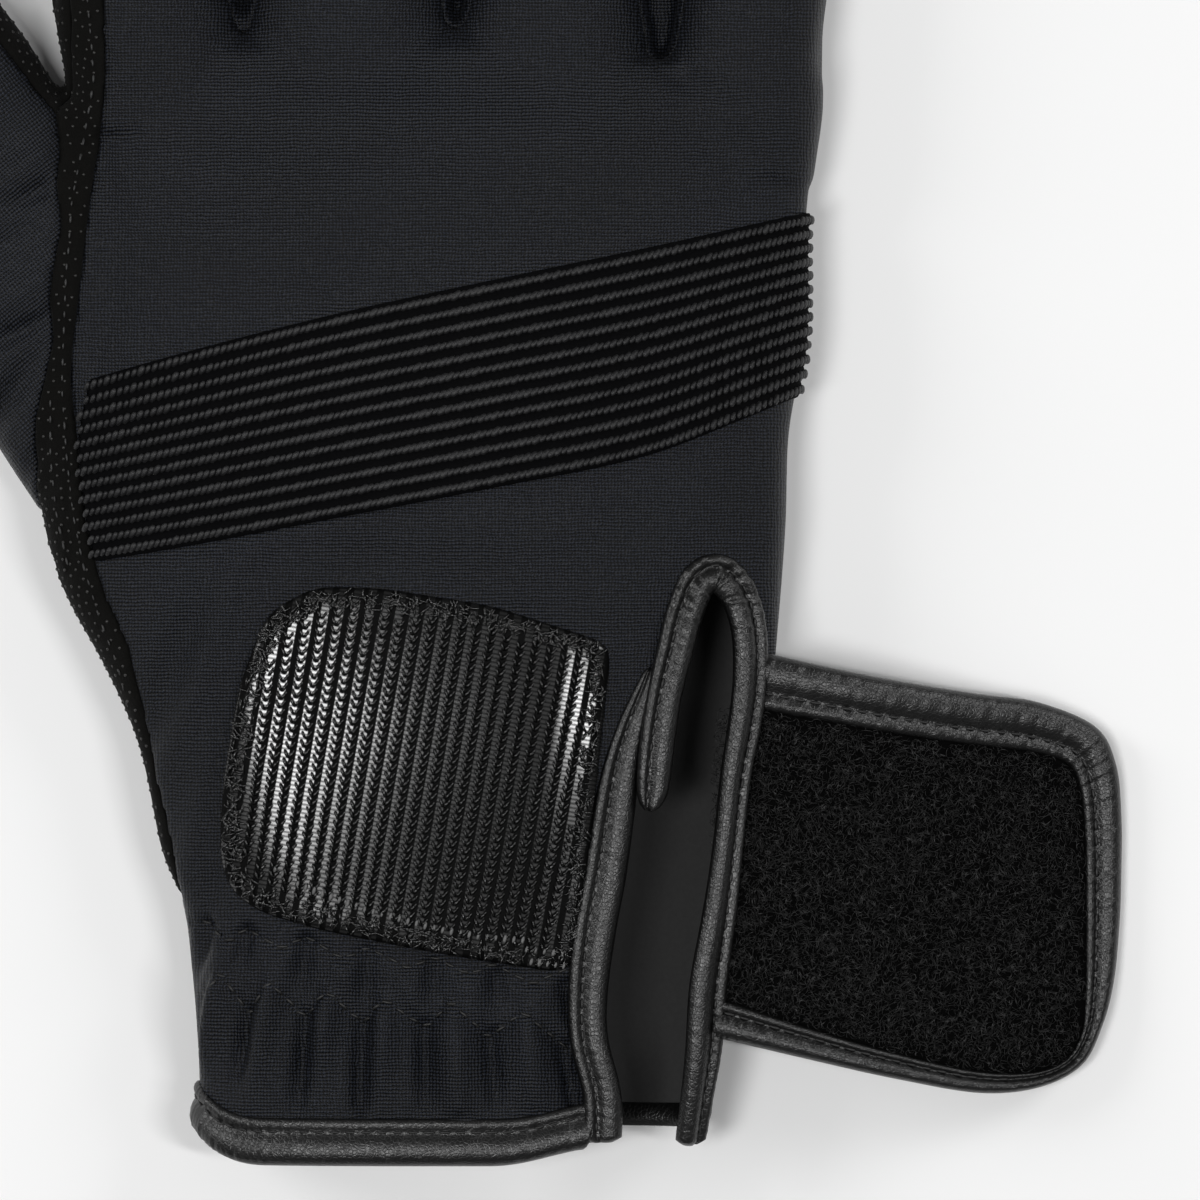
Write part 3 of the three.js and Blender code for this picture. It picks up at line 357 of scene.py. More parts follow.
def smoothstep(low, high, value):
    """0 below low, 1 above high and a soft rise between them."""
    t = np.clip((value - low) / (high - low), 0, 1)
    return t * t * (3 - 2 * t)


def curve_through(rows, steps):
    """Points along a smooth curve through rows, evenly spaced in its parameter."""
    rows = np.asarray(rows, dtype=float)
    padded_rows = np.vstack([2 * rows[0] - rows[1], rows, 2 * rows[-1] - rows[-2]])
    spots = np.linspace(0, len(rows) - 1, steps + 1)
    i = np.minimum(spots.astype(int), len(rows) - 2)
    t = (spots - i)[:, None]
    a, b, c, d = (padded_rows[i + k] for k in range(4))
    return 0.5 * (
        2 * b + (c - a) * t + (2 * a - 5 * b + 4 * c - d) * t**2 + (3 * b - a - 3 * c + d) * t**3
    )


def unit(vectors):
    """The same directions with length 1."""
    return vectors / np.linalg.norm(vectors, axis=1)[:, None]


def running_length(line):
    """The length of a line up to each of its points."""
    return np.concatenate([[0], np.cumsum(np.linalg.norm(np.diff(line, axis=0), axis=1))])


def even_steps(line, step, measured=2):
    """The same line with its points a given step apart, measured along its first columns."""
    line = np.asarray(line, dtype=float)
    lengths = running_length(line[:, :measured])
    count = max(int(round(lengths[-1] / step)), 1)
    spots = np.linspace(0, lengths[-1], count + 1)
    return np.stack([np.interp(spots, lengths, line[:, k]) for k in range(line.shape[1])], axis=1)


# Sections of the hand
def hand_at(y):
    """The middle, half width and height of the hand's section at y."""
    place = np.asarray(y, dtype=float) / HAND_LENGTH
    spread = smooth_read(HAND_SECTIONS, "along", "spread", place)
    rise = smooth_read(HAND_SECTIONS, "along", "rise", place)
    centre = smooth_read(HAND_SECTIONS, "along", "shift", place) * HAND_WIDTH
    half_width = (CUFF_WIDTH + spread * (HAND_WIDTH - CUFF_WIDTH)) / 2
    height = CUFF_HEIGHT + rise * (HAND_HEIGHT - CUFF_HEIGHT)
    return centre, half_width, height


def section_point(angle, half_width, height, level, floor):
    """Sideways and upward places on a section: full at its level, flatter underneath."""
    cos = np.cos(angle)
    sin = np.sin(angle)
    side = np.sign(cos) * np.abs(cos) ** SQUARENESS * half_width
    bulge = np.abs(sin) ** SQUARENESS
    top = level + (height - level) * bulge
    under = level - (level - floor) * np.minimum(1, UNDERSIDE_FLAT * bulge)
    return side, np.where(sin >= 0, top, under)


def hem_slant(angle, y):
    """How much the cuff's lower edge is drawn up at its sides, and a little towards the slit."""
    fade = np.clip(1 - (y - HEM_WIDTH) / GATHER_END, 0, 1)
    on_right = smoothstep(0.1, 0.5, np.cos(angle)) * smoothstep(0.5, 0.8, np.sin(angle))
    return fade * (HEM_SLANT * (1 - smoothstep(0, HEM_TURN, np.sin(angle))) + SLIT_RISE * on_right)


def hand_point(y, angle, offset):
    """A point on the hand's section at y, a given distance outside the plain form."""
    centre, half_width, height = hand_at(y)
    side, up = section_point(angle, half_width + offset, height + offset, height * WIDEST_LEVEL, -offset)
    return np.stack(np.broadcast_arrays(centre + side, y + hem_slant(angle, y), up), axis=-1)


def hand_top(x, y):
    """Height of the back's plain surface over a place of the plan."""
    centre, half_width, height = hand_at(y)
    level = height * WIDEST_LEVEL
    share = np.minimum(np.abs(x - centre) / half_width, 0.999)
    cos = share ** (1 / SQUARENESS)
    bulge = np.sqrt(1 - cos * cos) ** SQUARENESS
    return level + (height - level) * bulge


# Relief of the cloth
def fold_lift(folds, x, y):
    """How far the folds raise or sink the cloth at places of the plan."""
    lift = np.zeros_like(x)
    for fold in folds:
        turn = math.radians(fold["turn"])
        dx = x - fold["x"]
        dy = y - fold["y"]
        lengthwise = (dx * math.cos(turn) + dy * math.sin(turn)) / fold["reach"]
        crosswise = (dy * math.cos(turn) - dx * math.sin(turn)) / fold["breadth"]
        lift = lift + fold["height"] * np.exp(-(lengthwise**2) - crosswise**2)
    return lift


def zigzag_height(corners, x):
    xs = [corner[0] for corner in corners]
    ys = [corner[1] for corner in corners]
    return np.interp(x, xs, ys)


RIDGE_BREADTH = 2.0
CREASE_BREADTH = 1.15
PUCKER_MIDDLE = -6
PUCKER_LEAN = 0.55
PINCH_WIDTH = 0.8
PINCH_DEPTH = 0.5
SEWN_FROM = -34
SEWN_TO = 17


def puckers(corners, length, depth, swell):
    """Folds of a stitch row: a crease down from each valley, a rounded ridge down from each peak."""
    rows = []
    for number, (x, y) in enumerate(corners):
        lean = (x - PUCKER_MIDDLE) * PUCKER_LEAN
        peak = number % 2 == 1
        fall = length * (0.9 + 0.25 * math.sin(number * 2.3))
        turn = math.radians(lean)
        rows.append({
            "x": x + math.sin(turn) * fall * 0.7,
            "y": y - math.cos(turn) * fall * 0.7,
            "turn": 90 + lean,
            "reach": fall,
            "breadth": RIDGE_BREADTH if peak else CREASE_BREADTH,
            "height": swell if peak else -depth,
        })
    return rows


LOWER_PUCKERS = puckers(ZIGZAG_LOWER, 8.0, 2.0, 1.9)
UPPER_PUCKERS = puckers(ZIGZAG_UPPER, 4.4, 1.3, 1.0)


def gather_lift(x, y):
    """The puckered cloth between the hem and the zigzag rows of the cuff."""
    lower = zigzag_height(ZIGZAG_LOWER, x)
    upper = zigzag_height(ZIGZAG_UPPER, x)
    lift = fold_lift(LOWER_PUCKERS, x, y) * (1 - smoothstep(-0.3, 1.6, y - lower))
    lift = lift + fold_lift(UPPER_PUCKERS, x, y) * (1 - smoothstep(-0.3, 1.4, y - upper))
    pinch = np.exp(-(((y - lower) / PINCH_WIDTH) ** 2)) + np.exp(-(((y - upper) / PINCH_WIDTH) ** 2))
    return lift - PINCH_DEPTH * pinch * ((x > SEWN_FROM) & (x < SEWN_TO))


def cloth_waves(x, y):
    """A slack, slow unevenness, the same each time."""
    return (
        0.16 * np.sin(x * 0.21 + y * 0.07 + 0.4)
        + 0.12 * np.sin(y * 0.19 - x * 0.05 + 1.3)
        + 0.07 * np.sin(x * 0.43 - y * 0.31 + 2.1)
        + 0.05 * np.sin(x * 0.11 + y * 0.57)
    )


# Meshes
def new_piece(name, vertices, faces):
    mesh = bpy.data.meshes.new(name)
    mesh.from_pydata(np.asarray(vertices).tolist(), [], faces)
    mesh.validate()
    mesh.polygons.foreach_set("use_smooth", [True] * len(mesh.polygons))
    piece = bpy.data.objects.new(name, mesh)
    bpy.context.scene.collection.objects.link(piece)
    return piece


def baked(piece):
    """The piece with its modifiers made part of its mesh."""
    evaluated = piece.evaluated_get(bpy.context.evaluated_depsgraph_get())
    mesh = bpy.data.meshes.new_from_object(evaluated)
    piece.modifiers.clear()
    old = piece.data
    piece.data = mesh
    bpy.data.meshes.remove(old)
    mesh.name = piece.name
    return piece


def mesh_arrays(mesh):
    """Vertices, their normals and the faces of a mesh whose faces all have the same number of corners."""
    count = len(mesh.vertices)
    vertices = np.empty(count * 3)
    mesh.vertices.foreach_get("co", vertices)
    normals = np.empty(count * 3)
    mesh.vertices.foreach_get("normal", normals)
    faces = np.array([tuple(p.vertices) for p in mesh.polygons])
    return vertices.reshape(-1, 3), normals.reshape(-1, 3), faces


def ring_faces(rows, columns, wrap):
    """Quads between rows of points, outward when the points run anticlockwise seen against the rows."""
    last = columns if wrap else columns - 1
    r = np.repeat(np.arange(rows - 1), last)
    k = np.tile(np.arange(last), rows - 1)
    a = r * columns + k
    b = r * columns + (k + 1) % columns
    return np.stack([a, b, b + columns, a + columns], axis=1)


def closed_skin(rings):
    """Vertices and faces of rings skinned into a closed body, its ends closed from their middles."""
    rows, columns = rings.shape[:2]
    vertices = rings.reshape(-1, 3)
    faces = ring_faces(rows, columns, True).tolist()
    hub = len(vertices)
    vertices = np.vstack([vertices, rings[0].mean(axis=0), rings[-1].mean(axis=0)])
    for k in range(columns):
        following = (k + 1) % columns
        faces.append([following, k, hub])
        end = (rows - 1) * columns
        faces.append([end + k, end + following, hub + 1])
    return vertices, faces


def outward(piece):
    """Points the faces of a closed piece out of it."""
    work = bmesh.new()
    work.from_mesh(piece.data)
    bmesh.ops.remove_doubles(work, verts=work.verts, dist=1e-7)
    bmesh.ops.recalc_face_normals(work, faces=work.faces)
    work.to_mesh(piece.data)
    work.free()
    return piece


def closed_piece(name, rings):
    """A solid piece skinned over rings of plan points."""
    vertices, faces = closed_skin(rings)
    return outward(new_piece(name, to_frame(vertices), faces))


# The plain form of the glove, one closed skin
def limb_rings(table, middles, headings, width, height, samples):
    """Rings of a finger or thumb at samples of its length."""
    rings = []
    angles = np.linspace(0, 2 * np.pi, 48, endpoint=False)
    for share, middle, heading in zip(samples, middles, headings):
        half_width = float(smooth_read(table, "along", "width", share)) * width / 2
        lift = float(smooth_read(table, "along", "lift", share)) * height
        top = float(smooth_read(table, "along", "height", share)) * height
        side, up = section_point(angles, half_width, top, lift + (top - lift) * WIDEST_LEVEL, lift)
        rings.append(np.stack([middle[0] + heading[1] * side, middle[1] - heading[0] * side, up], axis=1))
    return np.array(rings)


def finger_heading(finger):
    lean = math.radians(finger["lean"])
    return np.array([math.sin(lean), math.cos(lean)])


def finger_middle(finger, share):
    root = np.array([finger["centre"] * HAND_WIDTH, finger["root"] * HAND_LENGTH])
    return root + finger_heading(finger) * share * finger["length"]


def finger_rings(finger):
    samples = np.concatenate([np.linspace(-0.2, 0.84, 20), np.linspace(0.86, 1.0, 12)])
    middles = [finger_middle(finger, share) for share in samples]
    headings = [finger_heading(finger)] * len(samples)
    width = finger["width"] * HAND_WIDTH
    return limb_rings(FINGER_SECTIONS, middles, headings, width, FINGER_HEIGHT, samples)


def thumb_middle(share):
    across = smooth_read(THUMB_SECTIONS, "along", "across", share)
    return np.array([
        THUMB_ROOT[0] * HAND_WIDTH + across * THUMB_LENGTH,
        THUMB_ROOT[1] * HAND_LENGTH + share * THUMB_LENGTH,
    ])


def thumb_heading(share):
    step = thumb_middle(min(share + 0.02, THUMB_TIP)) - thumb_middle(max(share - 0.02, 0.0))
    return step / np.linalg.norm(step)


def thumb_rings():
    samples = np.concatenate([np.linspace(0.0, 0.76, 20), np.linspace(0.78, THUMB_TIP, 10)])
    middles = [thumb_middle(share) for share in samples]
    headings = [thumb_heading(share) for share in samples]
    return limb_rings(THUMB_SECTIONS, middles, headings, THUMB_WIDTH, THUMB_HEIGHT, samples)


# Where the hand ends under the finger roots, as a share of HAND_LENGTH, and how far its end then rounds
# over between the fingers: x and reach in millimetres on top, and one reach underneath
HAND_END = 0.96
ROOT_REACH = {"x": [-40, -18, 4, 24, 34], "reach": [4.4, 5.4, 6.0, 1.4, 0.4], "under": 11.0}
ROOT_TURNS = np.radians([20, 40, 58, 72, 84])


def hand_rings():
    """Rings from inside the hem to the finger roots, where the end rounds over between the fingers."""
    angles = np.linspace(0, 2 * np.pi, 96, endpoint=False)
    rings = [hand_point(y, angles, 0.0) for y in np.linspace(-3, HAND_LENGTH * HAND_END, 60)]
    last = rings[-1]
    level = FINGER_HEIGHT * 0.45
    reach = np.interp(last[:, 0], ROOT_REACH["x"], ROOT_REACH["reach"])
    reach = np.where(last[:, 2] > level, reach, ROOT_REACH["under"])
    for turn in ROOT_TURNS:
        ring = last.copy()
        ring[:, 1] += reach * math.sin(turn)
        ring[:, 2] = level + (last[:, 2] - level) * math.cos(turn)
        rings.append(ring)
    return np.array(rings)


def glove_form():
    """Hand, fingers and thumb melted into one skin."""
    vertices = []
    faces = []
    for rings in [hand_rings(), *[finger_rings(finger) for finger in FINGERS], thumb_rings()]:
        points, quads = closed_skin(rings)
        start = sum(len(v) for v in vertices)
        vertices.append(points)
        faces.extend([[i + start for i in face] for face in quads])
    form = new_piece("glove_form", np.vstack(vertices), faces)
    melt = form.modifiers.new("melt", "REMESH")
    melt.mode = "VOXEL"
    melt.voxel_size = VOXEL
    melt.adaptivity = 0
    soften = form.modifiers.new("soften", "SMOOTH")
    soften.factor = 0.5
    soften.iterations = 7
    baked(form)
    arrays = mesh_arrays(form.data)
    bpy.data.objects.remove(form)
    return arrays


# Where the panels meet, as distances in millimetres
def finger_axis(finger, y):
    lean = math.tan(math.radians(finger["lean"]))
    return finger["centre"] * HAND_WIDTH + lean * (y - finger["root"] * HAND_LENGTH)


def thumb_strip_distance(points):
    """How far a point lies from the inner edge of the thumb's suede strip, towards the index finger."""
    shares = np.linspace(0.0, THUMB_TIP, 80)
    middles = np.array([thumb_middle(share) for share in shares])
    middles = np.vstack([middles, middles[-1] + thumb_heading(THUMB_TIP) * 6])
    shares = np.append(shares, 0.94)
    start = middles[:-1]
    along = np.diff(middles, axis=0)
    lengths = np.linalg.norm(along, axis=1)
    heading = along / lengths[:, None]
    offset = points[:, None, :2] - start[None]
    reach = np.clip((offset * heading).sum(axis=2), 0, lengths)
    gaps = np.linalg.norm(offset - reach[..., None] * heading, axis=2)
    nearest = gaps.argmin(axis=1)
    pick = np.arange(len(points))
    passed = reach[pick, nearest] / lengths[nearest]
    share = shares[nearest] + (shares[nearest + 1] - shares[nearest]) * passed
    across = offset[pick, nearest, 0] * heading[nearest, 1] - offset[pick, nearest, 1] * heading[nearest, 0]
    width = smooth_read(THUMB_SECTIONS, "along", "width", np.minimum(share, THUMB_TIP)) * THUMB_WIDTH / 2
    return across - np.maximum(width - THUMB_STRIP_WIDTH, THUMB_WIDTH * 0.03)


def slit_outline():
    """The plan outline of what the bindings enclose, along their middle lines."""
    left = binding_line(PLACKET_LINE, 40)[:, :2]
    arch = binding_line(SLIT_LINE, 90)[16:, :2]
    return np.vstack([[left[0, 0], -20], left, arch, [arch[-1, 0], -20]])


def binding_line(rows, steps):
    """Points of a binding's middle line: x, y, width and height above the cloth."""
    curve = curve_through(rows, steps)
    return np.stack([
        SLIT_X + curve[:, 0] * SLIT_WIDTH, curve[:, 1] * SLIT_LENGTH, curve[:, 2], curve[:, 3],
    ], axis=1)


def distance_outside(outline, points):
    """Distance in the plan from a closed outline, above 0 outside it."""
    start = outline
    end = np.roll(outline, -1, axis=0)
    along = end - start
    rel = points[:, None, :] - start[None]
    t = np.clip((rel * along).sum(axis=2) / (along**2).sum(axis=1), 0, 1)
    gaps = np.linalg.norm(rel - t[..., None] * along, axis=2).min(axis=1)
    crossing = (start[:, 1] > points[:, None, 1]) != (end[:, 1] > points[:, None, 1])
    with np.errstate(divide="ignore", invalid="ignore"):
        where = start[:, 0] + rel[..., 1] * along[:, 0] / along[:, 1]
    inside = (crossing & (points[:, None, 0] < where)).sum(axis=1) % 2 == 1
    return np.where(inside, -gaps, gaps)


class Skin:
    """A skin of triangles that remembers, for each seam it is cut along, which side each triangle is on."""

    def __init__(self, vertices, normals, triangles):
        self.vertices = vertices
        self.normals = normals
        self.triangles = triangles
        self.sides = {}

    def cut(self, name, field):
        """Splits the triangles that the zero line of a field crosses."""
        field = np.where(np.abs(field) < ON_SEAM, 0.0, field)
        sign = np.sign(field)[self.triangles]
        crossed = (sign.max(axis=1) > 0) & (sign.min(axis=1) < 0)
        cut = self.triangles[crossed]
        sign = sign[crossed]
        touched = (sign == 0).any(axis=1)
        minority = -np.sign(sign.sum(axis=1))
        lone = np.where(touched, (sign == 0).argmax(axis=1), (sign == minority[:, None]).argmax(axis=1))
        order = (lone[:, None] + np.arange(3)) % 3
        a, b, c = np.take_along_axis(cut, order, axis=1).T
        t, n = touched, ~touched
        pairs = np.concatenate([
            np.stack([a[n], b[n]], axis=1), np.stack([a[n], c[n]], axis=1), np.stack([b[t], c[t]], axis=1),
        ])
        pairs.sort(axis=1)
        pairs, spot = np.unique(pairs, axis=0, return_inverse=True)
        spot = spot.ravel() + len(self.vertices)
        share = field[pairs[:, 0]] / (field[pairs[:, 0]] - field[pairs[:, 1]])
        low, high = pairs.T
        self.vertices = np.vstack([
            self.vertices,
            self.vertices[low] + share[:, None] * (self.vertices[high] - self.vertices[low]),
        ])
        self.normals = np.vstack([
            self.normals,
            self.normals[low] + share[:, None] * (self.normals[high] - self.normals[low]),
        ])
        field = np.concatenate([field, np.zeros(len(pairs))])
        whole = int(n.sum())
        ab, ac, bc = spot[:whole], spot[whole:2 * whole], spot[2 * whole:]
        pieces = [
            self.triangles[~crossed],
            np.stack([a[n], ab, ac], axis=1),
            np.stack([ab, b[n], c[n]], axis=1),
            np.stack([ab, c[n], ac], axis=1),
            np.stack([a[t], b[t], bc], axis=1),
            np.stack([a[t], bc, c[t]], axis=1),
        ]
        number = np.flatnonzero(crossed)
        parents = [np.flatnonzero(~crossed), number[n], number[n], number[n], number[t], number[t]]
        self.triangles = np.concatenate(pieces)
        parents = np.concatenate(parents)
        self.sides = {key: value[parents] for key, value in self.sides.items()}
        self.sides[name] = np.sign(field)[self.triangles].sum(axis=1) > 0


def seam_at(seam, y):
    return np.interp(y, seam["y"], seam["x"])


def between_fingers(points):
    """For each point, the number of the gap between fingers that it belongs to, or -1."""
    gap = np.full(len(points), -1)
    x, y = points[:, 0], points[:, 1]
    for i in range(3):
        left, right = FINGERS[i], FINGERS[i + 1]
        low = min(left["root"], right["root"]) * HAND_LENGTH - FOURCHETTE_DEPTH
        gap[(x > finger_axis(left, y)) & (x < finger_axis(right, y)) & (y > low)] = i
    return gap


# The parts of the plan that each seam's field is read in, in millimetres
SLIT_ZONE = {"left": 8, "right": 46, "top": 92}
THUMB_ZONE = {"right": -40, "bottom": 66, "start": 70}
STRIP_ZONE = {"right": -20, "bottom": 28}
FAR = 30.0


def wrist_slit_field(vertices):
    """Above 0 outside the slit, in the upper wall of the cuff."""
    x, y, z = vertices.T
    near = (x > SLIT_ZONE["left"]) & (x < SLIT_ZONE["right"]) & (y < SLIT_ZONE["top"])
    near = near & (z > CUFF_HEIGHT * 0.45)
    field = np.full(len(vertices), FAR)
    field[near] = distance_outside(slit_outline(), vertices[near, :2])
    return field


def hem_field(vertices):
    """Above 0 over the line that the hem binding covers."""
    y, z = vertices[:, 1], vertices[:, 2]
    rise = (z - CUFF_HEIGHT * WIDEST_LEVEL) / (CUFF_HEIGHT * (1 - WIDEST_LEVEL))
    upward = smoothstep(0, HEM_TURN, np.clip(rise, 0, 1) ** (1 / SQUARENESS))
    return y - HEM_LAP - HEM_SLANT * (1 - upward)


def thumb_field(vertices):
    """Above 0 on the thumb."""
    x, y, _ = vertices.T
    near = (y > THUMB_ZONE["bottom"]) & (x < THUMB_ZONE["right"])
    return np.where(near, np.minimum(seam_at(THUMB_SEAM, y) - x, (y - THUMB_ZONE["start"]) * 0.5), -1.0)


def strip_field(vertices):
    """Above 0 on the suede strip, up the hand and the index finger."""
    x, y, _ = vertices.T
    near = (x < STRIP_ZONE["right"]) & (y > STRIP_ZONE["bottom"])
    return np.where(near, np.minimum(seam_at(STRIP_SEAM, y) - x, y - STRIP_START), -1.0)


def cut_panels(skin):
    """Cuts the skin along its seams and returns the triangles of each panel."""
    skin.cut("outside_slit", wrist_slit_field(skin.vertices))
    skin.cut("above_hem", hem_field(skin.vertices))
    skin.cut("thumb", thumb_field(skin.vertices))
    skin.cut("under", PALM_SEAM - skin.vertices[:, 2])
    skin.cut("strip", strip_field(skin.vertices))
    in_gap = between_fingers(skin.vertices) >= 0
    skin.cut("wall", np.where(in_gap, FINGER_SEAM - skin.vertices[:, 2], -1.0))
    on_thumb = skin.vertices[:, 0] < -45
    thumb_strip = np.full(len(skin.vertices), -1.0)
    thumb_strip[on_thumb] = thumb_strip_distance(skin.vertices[on_thumb])
    skin.cut("thumb_strip", thumb_strip)
    side = skin.sides
    gap = between_fingers(skin.vertices[skin.triangles].mean(axis=1))
    edge = side["thumb_strip"] | side["under"]
    panels = {
        "thumb_palm": side["thumb"] & edge,
        "thumb_back": side["thumb"] & ~edge,
        "palm_panel": ~side["thumb"] & side["under"],
        "side_strip": ~side["thumb"] & ~side["under"] & side["strip"],
    }
    rest = ~side["thumb"] & ~side["under"] & ~side["strip"]
    for i in range(3):
        name = f"fourchette_{FINGERS[i]['name']}_{FINGERS[i + 1]['name']}"
        panels[name] = rest & side["wall"] & (gap == i)
    taken = np.any(list(panels.values()), axis=0)
    panels["back_panel"] = ~taken
    kept = side["outside_slit"] & side["above_hem"]
    return {name: kept & chosen for name, chosen in panels.items()}


def triangle_edges(triangles):
    pairs = np.concatenate([triangles[:, [k, (k + 1) % 3]] for k in range(3)])
    return np.unique(np.sort(pairs, axis=1), axis=0)


def seam_press(skin, panels):
    """How deep each point is pressed in, because it lies near a seam between two panels."""
    label = np.zeros(len(skin.triangles), dtype=int)
    for number, chosen in enumerate(panels.values(), start=1):
        label[chosen] = number
    lowest = np.full(len(skin.vertices), len(panels) + 1)
    highest = np.zeros(len(skin.vertices), dtype=int)
    for k in range(3):
        corner = skin.triangles[:, k]
        np.minimum.at(lowest, corner, np.where(label > 0, label, len(panels) + 1))
        np.maximum.at(highest, corner, label)
    on_seam = ((lowest < highest) & (highest > 0)).astype(float)
    pairs = triangle_edges(skin.triangles)
    neighbours = np.bincount(pairs.ravel(), minlength=len(skin.vertices))
    press = on_seam.copy()
    for _ in range(2):
        total = np.bincount(pairs[:, 0], press[pairs[:, 1]], len(press))
        total = total + np.bincount(pairs[:, 1], press[pairs[:, 0]], len(press))
        press = np.maximum(on_seam, 0.45 * press + 0.55 * total / np.maximum(neighbours, 1))
    return press


def band_cover(x, y):
    """1 under the elastic band, 0 away from it."""
    across = (y - BAND_HEIGHT_ON_HAND) * math.cos(BAND_TILT) - x * math.sin(BAND_TILT)
    above = across - BAND_WIDTH / 2 - smooth_read(BAND_BOW, "x", "top", x)
    below = smooth_read(BAND_BOW, "x", "bottom", x) - across - BAND_WIDTH / 2
    return (1 - smoothstep(0, 1.5, np.maximum(above, below))) * (x > -50)


def patch_cover(x, y):
    """1 under the hook patch, 0 away from it."""
    cover = np.zeros_like(x)
    along = y - PATCH_BOTTOM
    near = (np.abs(x) < 36) & (along > -PATCH_MARGIN) & (along < PATCH_LENGTH + PATCH_MARGIN)
    outside = distance_outside(patch_outline(0)[:-1], np.stack([x[near], y[near]], axis=1))
    cover[near] = 1 - smoothstep(0.2, 1.8, outside)
    return cover


def relief(skin, press):
    """Gathers, folds and seams raised on the plain skin."""
    x, y, z = skin.vertices.T
    facing_up = smoothstep(0.1, 0.7, skin.normals[:, 2])
    over = smoothstep(6.5, 11, z)
    on_hand = 1 - smoothstep(HAND_LENGTH * HAND_END, HAND_LENGTH * 1.05, y)
    gathers = gather_lift(x, y) * smoothstep(5.5, 8, y)
    lift = on_hand * (gathers + fold_lift(FOLDS, x, y)) + cloth_waves(x, y)
    lift = lift + fold_lift(THUMB_CREASES, x, y) * (1 - smoothstep(-53, -50.5, x))
    lift = lift * (1 - patch_cover(x, y)) * (1 - band_cover(x, y))
    lift = lift * facing_up * over - SEAM_DEPTH * press * smoothstep(0.5, 3, z)
    moved = skin.vertices + skin.normals * lift[:, None]
    moved[:, 2] = np.maximum(moved[:, 2], DOT_STAND)
    return moved


def draw_plan(vertices):
    """Draws the plan in or out where the real glove is narrower or wider than its plain form."""
    x, y = vertices[:, 0].copy(), vertices[:, 1].copy()
    for move in PLAN_MOVES:
        share = np.exp(-((x - move["x"]) ** 2 + (y - move["y"]) ** 2) / move["radius"] ** 2)
        vertices[:, 0] += move["dx"] * share
        vertices[:, 1] += move["dy"] * share
    return vertices


def make_panels():
    """The cloth panels, as skins without a wall."""
    vertices, normals, faces = glove_form()
    vertices[:, 2] -= vertices[:, 2].min()
    triangles = np.concatenate([faces[:, [0, 1, 2]], faces[:, [0, 2, 3]]])
    skin = Skin(draw_plan(vertices), normals, triangles)
    panels = cut_panels(skin)
    vertices = relief(skin, seam_press(skin, panels))
    pieces = {}
    for name, chosen in panels.items():
        used, renumbered = np.unique(skin.triangles[chosen], return_inverse=True)
        pieces[name] = new_piece(
            name + "_cloth", to_frame(vertices[used]), renumbered.reshape(-1, 3).tolist(),
        )
    return pieces


def thinned(points, gap):
    """The numbers of those points that keep a gap between them, first come first kept."""
    kept = np.empty((len(points), 3))
    numbers = []
    for number, point in enumerate(points):
        taken = kept[:len(numbers)]
        if not numbers or ((taken - point) ** 2).sum(axis=1).min() > gap * gap:
            kept[len(numbers)] = point
            numbers.append(number)
    return numbers


def dot_points(piece, gap, margin):
    """Places for grip dots all over a panel, as plan points with the directions out of its skin."""
    vertices, normals, faces = mesh_arrays(piece.data)
    points = vertices / MM - np.array([ORIGIN_X, ORIGIN_Y, 0.0])
    edges, uses = np.unique(np.sort(np.concatenate([faces[:, [k, (k + 1) % 3]] for k in range(3)]), axis=1),
                            axis=0, return_counts=True)
    rim = points[np.unique(edges[uses == 1])]
    order = np.lexsort((points[:, 0], np.round(points[:, 1] / gap)))
    points, normals = points[order], normals[order]
    chosen = thinned(points, gap)
    points, normals = points[chosen], normals[chosen]
    clear = [((rim - point) ** 2).sum(axis=1).min() > margin * margin for point in points]
    points, normals = points[clear], normals[clear]
    sideways = np.cross(normals, [0.0, 1.0, 0.2])
    return points, np.cross(sideways, normals), normals


def seam_stitches(piece, line):
    """Stitches along a plan line on a panel's upper side."""
    vertices, normals, _ = mesh_arrays(piece.data)
    points = vertices / MM - np.array([ORIGIN_X, ORIGIN_Y, 0.0])
    above = normals[:, 2] > 0.05
    points, normals = points[above], normals[above]
    spots = even_steps(np.array(line), STITCH_PITCH)
    nearest = ((points[None, :, :2] - spots[:, None]) ** 2).sum(axis=2).argsort(axis=1)[:, :4]
    centre = np.column_stack([spots, points[nearest][:, :, 2].mean(axis=1)])
    upright = normals[nearest].mean(axis=1)
    upright = unit(upright)
    along = np.gradient(centre, axis=0)
    along = unit(along)
    return centre + upright * STITCH_LIFT, along, upright


# Stitch rows on the suede strip, as plan points in millimetres
STRIP_STITCHES = [
    [(-47.1, 151.5), (-46.5, 145.0), (-46.3, 141.0), (-46.8, 137.8), (-47.6, 133.9), (-48.5, 128.7),
     (-49.1, 125.4), (-49.5, 119.0), (-49.8, 116.3), (-50.2, 107.0), (-50.4, 101.0), (-49.8, 92.5),
     (-48.9, 84.5), (-47.6, 78.0), (-45.5, 71.0), (-43.2, 65.0), (-41.6, 58.0)],
    [(-51.9, 99.0), (-51.9, 92.0), (-51.2, 85.0), (-49.8, 78.5)],
]


def give_wall(piece):
    """Thickens a cloth inwards, with its inside in the second material."""
    wall = piece.modifiers.new("wall", "SOLIDIFY")
    wall.thickness = CLOTH * MM
    wall.offset = -1
    wall.use_even_offset = False
    wall.material_offset = 1
    wall.material_offset_rim = 0
    return baked(piece)


